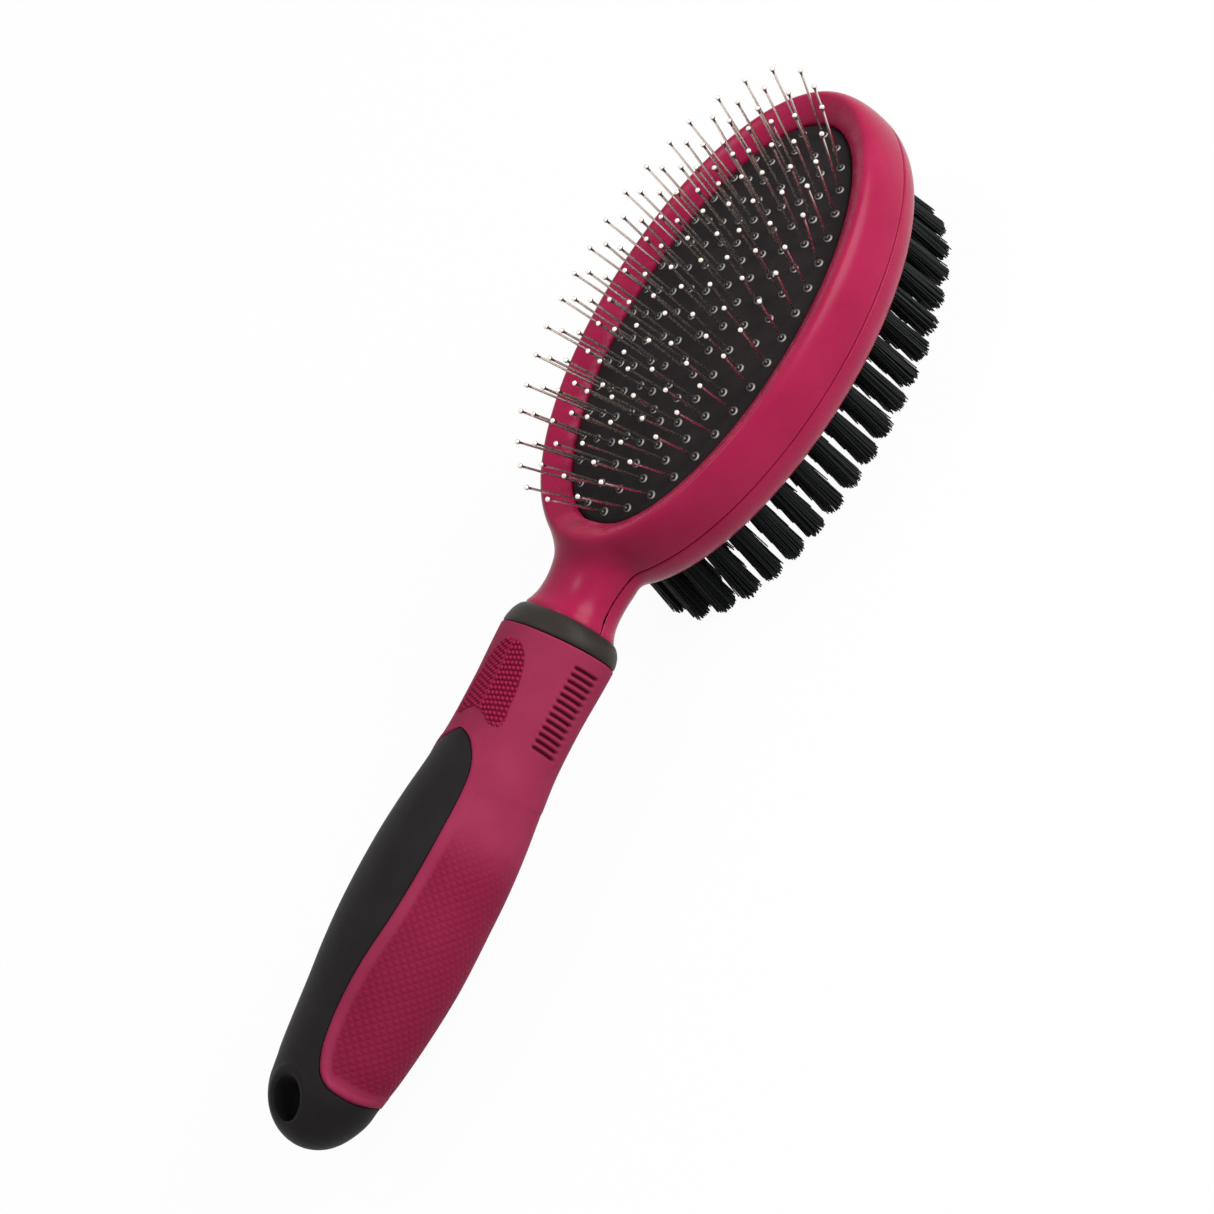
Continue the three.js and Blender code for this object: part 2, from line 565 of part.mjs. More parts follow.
// Black area seen from above: the inlay with its petal tip, flaring into the butt. Its near
// edge, at -Y, sweeps in and out, and its far edge runs along the side of the handle.
function blackArea(shrink) {
  const at = (distance) => HANDLE_FRONT - distance;
  const farEdge = (distance) => new THREE.Vector2(
    at(distance),
    halfThicknessAt(distance) * HANDLE_ASPECT * INLAY_FAR_SHARE - shrink,
  );
  const start = at(INLAY_START) - shrink;
  const end = at(PANEL_END) - shrink;
  const petal = -(INLAY_PETAL_REACH - shrink);
  const widest = -(INLAY_WIDEST_REACH - shrink);
  const narrow = -(INLAY_NARROW_REACH - shrink);
  const farTip = farEdge(INLAY_START + INLAY_PETAL);
  const outline = new THREE.Shape();
  outline.moveTo(start, 0);
  outline.bezierCurveTo(start, petal * 0.55, start - INLAY_PETAL * 0.5, petal * 0.85, start - INLAY_PETAL, petal);
  outline.splineThru([
    new THREE.Vector2(at(INLAY_WIDEST_AT), widest),
    new THREE.Vector2((at(INLAY_WIDEST_AT) + at(INLAY_NARROW_AT)) / 2, (widest + narrow) / 2),
    new THREE.Vector2(at(INLAY_NARROW_AT), narrow),
  ]);
  outline.bezierCurveTo(end + PANEL_CORNER, narrow, end, narrow - PANEL_CORNER * 0.3, end, narrow - PANEL_CORNER);
  outline.lineTo(end, -HALF_WIDTH);
  outline.lineTo(BUTT_END - CUT_MARGIN, -HALF_WIDTH);
  outline.lineTo(BUTT_END - CUT_MARGIN, HALF_WIDTH);
  outline.lineTo(end, HALF_WIDTH);
  outline.lineTo(end, farEdge(PANEL_END).y);
  outline.splineThru([farEdge(INLAY_NARROW_AT), farEdge(INLAY_WIDEST_AT), farTip]);
  outline.bezierCurveTo(start - INLAY_PETAL * 0.3, farTip.y, start, farTip.y * 0.6, start, 0);
  return uprightPrism(outline.getPoints(4));
}

function uprightPrism(outline) {
  const prism = new THREE.ExtrudeGeometry(new THREE.Shape(outline), {
    depth: 2 * HALF_WIDTH,
    bevelEnabled: false,
  });
  prism.translate(0, 0, -HALF_WIDTH);
  return toSolid(prism);
}

// Heart-shaped pad for the thumb, seen from above, hollowed over the inlay's tip.
function thumbArea() {
  const start = HANDLE_FRONT - THUMB_START;
  const end = start - THUMB_LENGTH;
  const half = THUMB_WIDTH / 2;
  const outline = new THREE.Shape();
  outline.moveTo(start, 0);
  outline.bezierCurveTo(start, half * 0.7, start - THUMB_LENGTH * 0.4, half, end + THUMB_NOTCH * 1.6, half);
  outline.bezierCurveTo(end, half, end - THUMB_NOTCH * 0.2, half * 0.75, end + THUMB_NOTCH * 0.5, half * 0.45);
  outline.lineTo(end + THUMB_NOTCH, 0);
  const points = outline.getPoints(6);
  const mirrored = points.slice(1, -1).reverse().map((p) => new THREE.Vector2(p.x, -p.y));
  return uprightPrism([...points, ...mirrored]);
}

function fingerGrooves() {
  const cuts = [];
  for (let index = 0; index < GROOVE_COUNT; index += 1) {
    const distance = GROOVE_START + index * GROOVE_PITCH;
    const x = HANDLE_FRONT - distance;
    const surface = halfThicknessAt(distance) * HANDLE_ASPECT;
    for (const side of [-1, 1]) {
      const cut = new THREE.BoxGeometry(GROOVE_WIDTH, 2 * GROOVE_DEPTH, GROOVE_LENGTH);
      cut.rotateY(-Math.atan(leanAt(x)));
      cut.translate(x, side * surface, lineOfHandle(x) + GROOVE_RISE);
      cuts.push(bareGeometry(cut));
    }
  }
  return toSolid(mergeGeometries(cuts));
}

function gripSleeve() {
  const thumbPads = toSolid(loft(handleRings(-THUMB_PROUD, SWELL_AT))).intersect(thumbArea());
  return handleOuter()
    .add(thumbPads)
    .subtract(handleInner(GRIP_WALL, CUT_MARGIN))
    .subtract(blackArea(0))
    .subtract(fingerGrooves());
}

// Upright hole with a facet of its wall square to the line of the handle at each end.
function hangHole() {
  const x = BUTT_END + HANG_HOLE_FROM_END;
  const hole = new THREE.CylinderGeometry(HANG_HOLE_RADIUS, HANG_HOLE_RADIUS, HEAD_WIDTH, HOLE_SIDES);
  hole.rotateY(Math.PI / HOLE_SIDES);
  hole.rotateX(Math.PI / 2);
  hole.translate(x, 0, lineOfHandle(x));
  return toSolid(hole);
}

function handleCore() {
  return handleInner(GRIP_WALL + FIT_GAP, 0)
    .add(handleOuter().intersect(blackArea(FIT_GAP)))
    .subtract(tang(FIT_GAP, SOCKET_SPARE).add(tangEntry()))
    .subtract(hangHole());
}

// ---------------------------------------------------------------- assembly

function node(name, solid, material) {
  const mesh = new THREE.Mesh(toGeometry(solid), material);
  mesh.name = name;
  return mesh;
}

const head = new THREE.Group();
head.add(
  node('front_shell', frontShell(), raspberryGloss),
  node('back_shell', backShell(), raspberryGloss),
  node('air_cushion', cushion(), blackRubber),
  node('pin_field', pinField(), steel),
  node('cushion_tray', cushionTray(), blackPlastic),
  node('bristle_plate', bristlePlate(), blackPlastic),
  node('bristle_field', bristleField(), nylon),
);

const handle = new THREE.Group();
handle.add(
  node('collar_ring', collarRing(), blackSoft),
  node('grip_sleeve', gripSleeve(), raspberrySoft),
  node('handle_core', handleCore(), blackSoft),
);

const brush = new THREE.Group();
brush.add(head, handle);
brush.position.set(-(HALF_LENGTH + BUTT_END) / 2, 0, -BRISTLE_TIPS);

export default brush;
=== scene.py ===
"""Looks of the double-sided pet brush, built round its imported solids.

Every surface is worked out in millimetres about the middle of the head: x runs to the tip of
the head, y across it, and z out of the seam between the two shells towards the pins.
"""

import bmesh
import bpy
import numpy as np
from mathutils import Matrix, Vector


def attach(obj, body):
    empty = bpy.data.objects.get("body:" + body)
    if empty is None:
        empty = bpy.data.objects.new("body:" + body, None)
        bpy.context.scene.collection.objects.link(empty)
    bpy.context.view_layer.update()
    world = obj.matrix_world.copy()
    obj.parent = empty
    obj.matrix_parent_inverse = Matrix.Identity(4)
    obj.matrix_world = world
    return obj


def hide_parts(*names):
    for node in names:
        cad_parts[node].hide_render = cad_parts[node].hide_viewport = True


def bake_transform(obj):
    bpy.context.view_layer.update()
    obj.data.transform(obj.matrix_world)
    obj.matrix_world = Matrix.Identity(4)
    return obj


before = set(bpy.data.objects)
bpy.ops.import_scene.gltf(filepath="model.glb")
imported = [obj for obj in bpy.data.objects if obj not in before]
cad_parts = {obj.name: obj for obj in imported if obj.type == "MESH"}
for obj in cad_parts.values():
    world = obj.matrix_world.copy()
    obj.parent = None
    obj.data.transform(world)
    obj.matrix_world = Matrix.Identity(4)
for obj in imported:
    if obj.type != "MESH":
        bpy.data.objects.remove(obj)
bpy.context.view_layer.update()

# ---- sizes, in millimetres

MILLIMETRE = 0.001  # in the metres of the frame
HEAD_CENTRE = np.array([59.8, 0.0, 26.0])  # in the frame of the solids
HALF_LENGTH, HALF_WIDTH = 53.0, 30.5
SEAM_EDGE = 0.15  # half of the gap between the shells
SEAM_ROUND = 0.34
RIM_CREST_INSET, RIM_HEIGHT = 3.1, 9.8
FALL_POWER = 1.4  # of the rim's fall to the lip, where 2 would be round and 1 straight
LIP_INSET, LIP_HEIGHT = 7.7, 6.7
BACK_EDGE_INSET, BACK_DEPTH, BACK_OPENING_INSET = 5.0, 8.1, 6.3
SHELL_WALL = 2.6
OUTERMOST_INSET = -26.0  # a point of the neck lies no farther outside the head's outline than this
HAIR = 0.004  # keeps a point just off an exact edge
HEAD_END, NECK_END = -53.0, -65.4
NECK_BLEND = (1.3, 2.4)  # reach of the fillet between neck and head, at the seam and high up
NECK_POWER = 2.3  # of its oval, where 2 would be round and more is squarer
NECK_TURN = 0.72  # the outline's columns up to this turn of the head's oval crowd towards the neck
WAIST_OVER = (40.0, 50.0)  # from the head's middle: where columns begin to follow the waist, and fully do
RAYS_FROM, RAY_LENGTH = -40.0, 110.0
TANG_HALF_WIDTH, TANG_HALF_HEIGHT, TANG_LENGTH = 7.5, 6.2, 25.8
COLLAR_FRONT, COLLAR_WIDTH, COLLAR_LEAN, LEAN_REACH = -63.8, 4.4, 0.08, 25.0
HANDLE_FRONT, HANDLE_LENGTH, HANDLE_ASPECT = -67.8, 104.8, 1.2
HANDLE_DROP, HANDLE_SAG, HANDLE_SAG_OVER = 5.3, 0.5, (60.0, 85.0)
MOUTH_AT = 0.55  # the sleeve's mouth, from the handle's front
ROUND_END_START, ROUND_END_LENGTH = 92.3, 12.5
GRIP_DEPTH = 1.5  # thickness of the soft sleeve's edge
PANEL_END, DRAWN_UP = 93.8, 2.0
INLAY_GAP = 0.12
GROOVE_START, GROOVE_PITCH, GROOVE_COUNT, GROOVE_WIDTH, GROOVE_DEPTH = 3.95, 1.41, 13, 0.33, 0.6
FIELD_TOP, FIELD_INSET, FIELD_DEPTH = 31.0, 2.0, 0.1  # the knurled field
THUMB_START, THUMB_STOP, THUMB_FLOOR = 3.46, 21.46, -0.9
PIP_PITCH, PIP_COLUMN_PITCH, PIP_FIRST, PIP_LEAN = 1.08, 0.86, 0.62, 0.34
PIP_LENGTH, PIP_WIDTH = 0.42, 0.36  # half of each
HANG_HOLE_AT, HANG_HOLE_RADIUS, HANG_HOLE_ROLL = 98.4, 3.85, 0.9
HANG_HOLE_X = HANDLE_FRONT - HANG_HOLE_AT
HOLE_REACH = 30.0  # of the cylinder that cuts the hole, up and down
CROWN_HEIGHT, CROWN_POWER, CROWN_DIP = 3.0, 2.4, 0.35
CUSHION_INSET, FLANGE_INSET, FLANGE_TOP, FLANGE_BOTTOM = 8.0, 5.9, 4.6, 2.9
PIN_LENGTH, PIN_RADIUS, PIN_BALL, PIN_SUNK = 15.4, 0.26, 0.53, 0.4
PIN_PITCH, PIN_RING_PITCH, PIN_MARGIN = 5.5, 4.48, 2.3
PIN_SHIFT = (0.7, -0.25)  # start of the outermost ring, and how much further each next one starts
PIN_FAN, PIN_RING_FAN = (0.48, 0.49), (0.3, 0.3)
PAD_INSET, PAD_FACE = 6.9, -8.7
TUFT_PITCH, TUFT_RING_PITCH, TUFT_MARGIN = 5.6, 5.7, 2.0
TUFT_SHIFT = (0.5, -0.18)
TUFT_FAN = (0.1, 0.0)
TUFT_RADIUS, TUFT_SPREAD, TUFT_SUNK = 1.6, 0.042, 0.6
BRISTLE_LENGTH = 17.3
STRAND_RADII = np.array([0.0, 0.16, 0.16, 0.15, 0.0])
GOLDEN_ANGLE = 2.399963  # turn from strand to strand, which spreads them evenly


# ---- camera, light and floor

CAMERA_AT = (-0.139762, -0.550236, 0.519957)
CAMERA_RIGHT = (0.488985, -0.653219, -0.578099)
CAMERA_UP = (0.851526, 0.213710, 0.478782)
CAMERA_BACK = (-0.189203, -0.726383, 0.660734)
SENSOR_WIDTH, LENS = 36.0, 118.616  # millimetres

WHITE = (1.0, 1.0, 1.0, 1.0)
WHITE_STRENGTH, SKY_STRENGTH = 1.03, 0.32
FLOOR_SIZE, FLOOR_DROP = 6.0, 0.0002  # metres
FLOOR_GREY, FLOOR_WHITE_SHARE = 0.6, 0.93
LAMP_TARGET = (0, 0, 0.02)
KEY_LIGHT = ((0.76, -0.78, 0.56), 0.9, 15.5)  # place and size in metres, and watts
FILL_LIGHT = ((0.08, 0.22, 1.15), 0.3, 2.5)


def in_scene(name, data):
    """A new object of that data, linked into the scene."""
    thing = bpy.data.objects.new(name, data)
    bpy.context.scene.collection.objects.link(thing)
    return thing


def make_camera():
    """The photograph's view: a long lens, placed by a fit to the outline of the head, the seam and the
    handle."""
    data = bpy.data.cameras.new("photo_view")
    data.sensor_width = SENSOR_WIDTH
    data.lens = LENS
    data.clip_start, data.clip_end = 0.01, 20.0
    camera = in_scene("photo_view", data)
    axes = Matrix((CAMERA_RIGHT, CAMERA_UP, CAMERA_BACK)).transposed().to_4x4()
    camera.matrix_world = Matrix.Translation(CAMERA_AT) @ axes
    bpy.context.scene.camera = camera


def area_light(name, at, size, watts):
    """A round lamp that faces the middle of the brush."""
    data = bpy.data.lights.new(name, "AREA")
    data.shape = "DISK"
    data.size = size
    data.energy = watts
    lamp = in_scene(name, data)
    lamp.rotation_mode = "QUATERNION"
    lamp.rotation_quaternion = (Vector(LAMP_TARGET) - Vector(at)).to_track_quat("-Z", "Y")
    lamp.location = at


def white_to_the_eye(tree, plain, kind, share):
    """Mixes a share of white light, of one kind of node, into a surface for camera, glossy and
    transmission rays alone."""
    path = add(tree, "LightPath")
    seen = maths(tree, "MAXIMUM", path.outputs["Is Camera Ray"], path.outputs["Is Glossy Ray"])
    seen = maths(tree, "MAXIMUM", seen, path.outputs["Is Transmission Ray"])
    white = add(tree, kind, {"Color": WHITE, "Strength": WHITE_STRENGTH})
    inputs = (maths(tree, "MULTIPLY", seen, share), plain, white.outputs[0])
    return add(tree, "MixShader", enumerate(inputs)).outputs[0]


def make_studio():
    """A white world and a floor card, both dimmer as light on the brush than to the eye, and two lamps."""
    bpy.context.scene.view_settings.view_transform = "Standard"
    world = bpy.data.worlds.new("studio")
    bpy.context.scene.world = world
    tree = empty_tree(world)
    sky = add(tree, "Background", {"Color": WHITE, "Strength": SKY_STRENGTH})
    add(tree, "OutputWorld", {"Surface": white_to_the_eye(tree, sky.outputs[0], "Background", 1.0)})

    mesh = bpy.data.meshes.new("studio_floor")
    half = FLOOR_SIZE / 2
    corners = [(-half, -half, 0), (half, -half, 0), (half, half, 0), (-half, half, 0)]
    mesh.from_pydata(corners, [], [(0, 1, 2, 3)])
    floor = in_scene("studio_floor", mesh)
    floor.location.z = -FLOOR_DROP
    finish = bpy.data.materials.new("white_floor")
    tree = empty_tree(finish)
    card = add(tree, "BsdfDiffuse", {"Color": (FLOOR_GREY, FLOOR_GREY, FLOOR_GREY, 1.0)})
    seen = white_to_the_eye(tree, card.outputs[0], "Emission", FLOOR_WHITE_SHARE)
    add(tree, "OutputMaterial", {"Surface": seen})
    mesh.materials.append(finish)

    area_light("key_light", *KEY_LIGHT)
    area_light("fill_light", *FILL_LIGHT)


# ---- finishes

KNURL_PITCH, KNURL_DEPTH = 0.092, 0.00012  # in centimetres of the grip's map, and in metres
SCUFF_GLOSS = 0.06
# Name, grains to the metre, darkest and lightest colour, range of roughness, depth of the grain in
# metres, and specular level.
FINISH_TABLE = {
    "head": ("satin_raspberry", 2600, (155, 24, 66), (166, 32, 74), (0.24, 0.32), 0.000012, 0.1),
    "grip": ("soft_raspberry", 3600, (144, 40, 72), (154, 47, 80), (0.62, 0.74), 0.00002, 0.1),
    "pips": ("thumb_pad_raspberry", 3600, (118, 8, 52), (128, 14, 58), (0.55, 0.7), 0.00002, 0.12),
    "inlay": ("soft_black", 3200, (27, 24, 25), (35, 32, 33), (0.5, 0.62), 0.000025, 0.08),
    "collar": ("collar_black", 2800, (42, 37, 34), (50, 44, 40), (0.42, 0.52), 0.000015, 0.12),
    "cushion": ("cushion_rubber", 1900, (31, 27, 28), (40, 36, 37), (0.72, 0.85), 0.00004, 0.08),
    "plate": ("pad_black", 2400, (22, 21, 22), (31, 30, 31), (0.45, 0.55), 0.00002, 0.5),
    "steel": ("bright_wire", 5200, (220, 214, 206), (238, 232, 224), (0.2, 0.3), 0.000006, 0.5),
    "nylon": ("black_nylon", 4200, (14, 14, 15), (24, 23, 24), (0.55, 0.7), 0.000008, 0.12),
}


def node_group(name, inputs, outputs):
    """Empty shader group with the named inputs and outputs, each given with its socket kind."""
    group = bpy.data.node_groups.new(name, "ShaderNodeTree")
    for label, kind, value in inputs:
        socket = group.interface.new_socket(name=label, in_out="INPUT", socket_type=kind)
        if value is not None:
            socket.default_value = value
    for label, kind in outputs:
        group.interface.new_socket(name=label, in_out="OUTPUT", socket_type=kind)
    start = group.nodes.new("NodeGroupInput")
    end = group.nodes.new("NodeGroupOutput")
    return group, start, end


def empty_tree(owner):
    """The node tree of a world or a material, cleared."""
    owner.use_nodes = True
    owner.node_tree.nodes.clear()
    return owner.node_tree


def add(tree, kind, inputs=(), **settings):
    """A node with its settings; each input gets a fixed value, or another node's output."""
    node = tree.nodes.new("ShaderNode" + kind)
    for label, value in settings.items():
        setattr(node, label, value)
    for label, value in dict(inputs).items():
        if hasattr(value, "is_linked"):
            tree.links.new(value, node.inputs[label])
        else:
            node.inputs[label].default_value = value
    return node


def maths(tree, operation, *values):
    """One sum on values that are fixed or come from nodes."""
    return add(tree, "Math", enumerate(values), operation=operation).outputs[0]


def noise(tree, vector, scale, detail, roughness=0.5):
    """Cloudy values round one half, scale of them to the metre."""
    inputs = {"Vector": vector, "Scale": scale, "Detail": detail, "Roughness": roughness}
    return add(tree, "TexNoise", inputs).outputs["Fac"]


def moulded_grain():
    """Fine pitting of a moulded surface, its cloudy unevenness, and faint scuffs from use."""
    group, start, end = node_group(
        "moulded_grain",
        [("Vector", "NodeSocketVector", None), ("Grain Scale", "NodeSocketFloat", 2500.0)],
        [("Height", "NodeSocketFloat"), ("Mottle", "NodeSocketFloat"), ("Scuffs", "NodeSocketFloat")],
    )
    vector, scale = start.outputs["Vector"], start.outputs["Grain Scale"]
    fine = noise(group, vector, scale, 3.0, 0.6)
    coarse = noise(group, vector, maths(group, "MULTIPLY", scale, 0.31), 2.0)
    shares = maths(group, "MULTIPLY", fine, 0.65), maths(group, "MULTIPLY", coarse, 0.35)
    turned = {"Vector": vector, "Rotation": (0.3, 0.2, 0.5), "Scale": (60.0, 900.0, 900.0)}
    streak = noise(group, add(group, "Mapping", turned).outputs[0], 1.0, 2.0)
    streak = maths(group, "MAXIMUM", maths(group, "SUBTRACT", streak, 0.62), 0.0)
    scuffs = maths(group, "SMOOTH_MIN", streak, 0.2, 0.1)
    group.links.new(maths(group, "ADD", *shares), end.inputs["Height"])
    group.links.new(noise(group, vector, 95.0, 3.0, 0.55), end.inputs["Mottle"])
    group.links.new(maths(group, "MULTIPLY", scuffs, 5.0), end.inputs["Scuffs"])


def diamond_knurl():
    """Raised diamonds: triangle waves along both diagonals of the grip's own map, the lower of the two."""
    group, start, end = node_group(
        "diamond_knurl",
        [("Vector", "NodeSocketVector", None), ("Pitch", "NodeSocketFloat", 0.13)],
        [("Height", "NodeSocketFloat")],
    )
    pitch = start.outputs["Pitch"]
    around, along, _ = add(group, "SeparateXYZ", {"Vector": start.outputs["Vector"]}).outputs
    waves = [
        maths(group, "PINGPONG", maths(group, way, around, along), pitch) for way in ("ADD", "SUBTRACT")
    ]
    lower = maths(group, "MINIMUM", *waves)
    group.links.new(maths(group, "DIVIDE", lower, pitch), end.inputs["Height"])


def attribute(tree, name):
    """A value that the mesh itself carries."""
    return add(tree, "Attribute", attribute_name=name).outputs["Fac"]


def linear(*colour):
    """A colour given in the 0 to 255 of a screen, as the linear light that a shader takes."""
    c = np.array(colour) / 255.0
    c = np.where(c <= 0.04045, c / 12.92, ((c + 0.055) / 1.055) ** 2.4)
    return (float(c[0]), float(c[1]), float(c[2]), 1.0)


def between(tree, factor, low, high, kind="MIX"):
    """Colour between two by a factor, or with kind MULTIPLY their product."""
    inputs = {"Factor": factor, "A": low, "B": high}
    return add(tree, "Mix", inputs, data_type="RGBA", blend_type=kind).outputs["Result"]


def ranged(tree, value, low, high):
    """A noise value carried from its usual range to another."""
    inputs = {"Value": value, "From Min": 0.3, "From Max": 0.7, "To Min": low, "To Max": high}
    return add(tree, "MapRange", inputs).outputs["Result"]


class Finish:
    """A material with one Principled shader, the moulded grain on it, and the tree to add to."""

    def __init__(self, name, grain_scale, dark, light, rough, pit_depth, specular):
        self.material = bpy.data.materials.new(name)
        self.tree = tree = empty_tree(self.material)
        self.shader = add(tree, "BsdfPrincipled", {"Specular IOR Level": specular})
        add(tree, "OutputMaterial", {"Surface": self.shader.outputs[0]})
        place = add(tree, "TexCoord").outputs["Object"]
        inputs = {"Vector": place, "Grain Scale": grain_scale}
        grain = add(tree, "Group", inputs, node_tree=bpy.data.node_groups["moulded_grain"])
        mottle = ranged(tree, grain.outputs["Mottle"], 0.0, 1.0)
        self.recolour(between(tree, mottle, linear(*dark), linear(*light)))
        pitted = ranged(tree, grain.outputs["Height"], *rough)
        scuffed = maths(tree, "MULTIPLY", grain.outputs["Scuffs"], SCUFF_GLOSS)
        tree.links.new(maths(tree, "SUBTRACT", pitted, scuffed), self.shader.inputs["Roughness"])
        self.bump(grain.outputs["Height"], pit_depth)

    def recolour(self, colour):
        """Another node's colour becomes the base colour."""
        self.colour = colour
        self.tree.links.new(colour, self.shader.inputs["Base Color"])

    def bump(self, height, depth):
        """Adds a bump whose full height is depth metres, on top of an earlier one."""
        node = add(self.tree, "Bump", {"Strength": 1.0, "Distance": depth, "Height": height})
        normal = self.shader.inputs["Normal"]
        if normal.links:
            self.tree.links.new(normal.links[0].from_socket, node.inputs["Normal"])
        self.tree.links.new(node.outputs[0], normal)


def make_finishes():
    """Every finish of the table, and what some have on top: knurl and grooves on the grip with painted
    shade in the knurl's hollows and in the grooves, painted light on the pips' tops, a painted glint as
    a bright crescent round each pin, and bristles in different greys."""
    moulded_grain()
    diamond_knurl()
    done = {kind: Finish(*row) for kind, row in FINISH_TABLE.items()}
    done["steel"].shader.inputs["Metallic"].default_value = 1.0
    done["head"].shader.inputs["Coat Weight"].default_value = 0.02
    done["head"].shader.inputs["Coat Roughness"].default_value = 0.25

    grip = done["grip"]
    tree = grip.tree
    inputs = {"Vector": add(tree, "UVMap", uv_map="around_and_along").outputs[0], "Pitch": KNURL_PITCH}
    knurl = add(tree, "Group", inputs, node_tree=bpy.data.node_groups["diamond_knurl"])
    height, knurled = knurl.outputs["Height"], attribute(tree, "knurled")
    grip.bump(maths(tree, "MULTIPLY", height, knurled), KNURL_DEPTH)
    # painted shade: the knurl's hollows darkened by multiplying the colour with a dim pink
    hollow = maths(tree, "MULTIPLY", maths(tree, "SUBTRACT", 1.0, height), knurled)
    shade = between(tree, hollow, WHITE, (0.84, 0.76, 0.8, 1.0))
    shaded = between(tree, 1.0, grip.colour, shade, "MULTIPLY")
    deeper = between(tree, maths(tree, "MULTIPLY", knurled, 0.6), shaded, linear(126, 10, 52))
    # painted shade: the finger grooves darkened to a deep crimson
    grip.recolour(between(tree, attribute(tree, "grooved"), deeper, linear(84, 2, 32)))

    for kind, field, low, high in (
        # painted light: the pips' tops lighter and the ground between them darker
        ("pips", "rise", linear(114, 0, 42), linear(164, 32, 74)),
        # painted glint: a light grey crescent on the near side of each pin's raised ring
        ("cushion", "painted_glint", done["cushion"].colour, linear(205, 202, 200)),
        ("nylon", "shade", linear(18, 19, 20), linear(42, 44, 44)),
    ):
        tree = done[kind].tree
        done[kind].recolour(between(tree, attribute(tree, field), low, high))
    return done


# ---- meshes from arrays of points


def grid_quads(rows, columns, wrap_rows=False, wrap_columns=False):
    """Corner numbers of the quads between neighbouring rows and columns of a grid of points."""
    row = np.arange(rows if wrap_rows else rows - 1)[:, None]
    column = np.arange(columns if wrap_columns else columns - 1)[None, :]
    next_row = (row + 1) % rows * columns
    next_column = (column + 1) % columns
    row = row * columns
    corners = [row + column, row + next_column, next_row + next_column, next_row + column]
    return np.stack(corners, -1).reshape(-1, 4)


def copies_of_quads(quads, points_each, count):
    """The same quads for each of many equal grids that follow one another."""
    return (quads[None] + np.arange(count)[:, None, None] * points_each).reshape(-1, 4)


def joined(parts):
    """Several (points, quads) as one."""
    starts = np.cumsum([0] + [len(points) for points, _ in parts[:-1]])
    points = np.vstack([points for points, _ in parts])
    return points, np.vstack([quads + start for (_, quads), start in zip(parts, starts)])


def faced_outwards(points, quads):
    """The quads, all turned over where the sum of their corner-to-corner triple products is negative."""
    a, b, c, d = (points[quads[:, i]] for i in range(4))
    volume = (np.cross(b, c) * a).sum() + (np.cross(c, d) * a).sum()
    return quads[:, ::-1] if volume < 0 else quads


def merge_doubles(mesh, distance):
    """Makes one point of those closer together than a distance in metres."""
    work = bmesh.new()
    work.from_mesh(mesh)
    bmesh.ops.remove_doubles(work, verts=work.verts, dist=distance)
    work.to_mesh(mesh)
    work.free()


def make_piece(name, points, quads, finish, values=None, around=None, weld=1e-7, crease=50.0):
    """A mesh object from points in millimetres: set in the frame, faced outwards, its doubles merged."""
    points = np.asarray(points, float).reshape(-1, 3)
    quads = faced_outwards(points, quads)
    mesh = bpy.data.meshes.new(name)
    mesh.vertices.add(len(points))
    mesh.vertices.foreach_set("co", ((points + HEAD_CENTRE) * MILLIMETRE).astype(np.float32).ravel())
    mesh.loops.add(quads.size)
    mesh.loops.foreach_set("vertex_index", quads.astype(np.int32).ravel())
    mesh.polygons.add(len(quads))
    mesh.polygons.foreach_set("loop_start", np.arange(0, quads.size, 4, dtype=np.int32))
    mesh.update(calc_edges=True)
    for label, value in (values or {}).items():
        field = mesh.attributes.new(label, "FLOAT", "POINT")
        field.data.foreach_set("value", np.asarray(value, np.float32).ravel())
    if around is not None:
        layer = mesh.uv_layers.new(name="around_and_along")
        layer.data.foreach_set("uv", around[quads.ravel()].astype(np.float32).ravel())
    merge_doubles(mesh, weld)
    mesh.shade_smooth()
    mesh.set_sharp_from_angle(angle=np.radians(crease))
    mesh.materials.append(finish.material)
    return in_scene(name, mesh)


def curve_through(points, steps=14):
    """Points of a smooth curve through the given ones: cubic pieces that leave each point along half
    the chord between its neighbours."""
    p = np.asarray(points, float)
    slope = np.gradient(p, axis=0)
    t = (np.arange(steps) / steps)[None, :, None]
    a, b, m, n = p[:-1, None], p[1:, None], slope[:-1, None], slope[1:, None]
    pieces = (2 * t**3 - 3 * t**2 + 1) * a + (t**3 - 2 * t**2 + t) * m
    pieces = pieces + (3 * t**2 - 2 * t**3) * b + (t**3 - t**2) * n
    return np.vstack([pieces.reshape(-1, p.shape[1]), p[-1:]])


def smooth_step(value, low, high):
    """0 up to the low value, 1 from the high one on, and between them 3 t^2 - 2 t^3 of the share t."""
    t = np.clip((value - low) / (high - low), 0, 1)
    return t * t * (3 - 2 * t)


def oval(inset, z, angles):
    """Ring of the head at one height: its oval with both half axes shortened by an inset."""
    x = (HALF_LENGTH - inset) * np.cos(angles)
    y = (HALF_WIDTH - inset) * np.sin(angles)
    return np.stack(np.broadcast_arrays(x, y, z), -1)


def window(value, rise_from, rise_to, fall_from, fall_to):
    """1 between the two middle values, with a smooth step up to it before and one down after."""
    return smooth_step(value, rise_from, rise_to) * (1 - smooth_step(value, fall_from, fall_to))


def turns(sides):
    """The angles of a ring of that many points."""
    return np.arange(sides) / sides * 2 * np.pi


def line_of_handle(x):
    """Height of the handle's middle line, which falls evenly from the end of the head to the butt, and
    a little more past the swell."""
    butt = HANDLE_FRONT - HANDLE_LENGTH
    even = np.where(x > HEAD_END, 0.0, -HANDLE_DROP * (HEAD_END - x) / (HEAD_END - butt))
    return even - HANDLE_SAG * smooth_step(HANDLE_FRONT - x, *HANDLE_SAG_OVER)


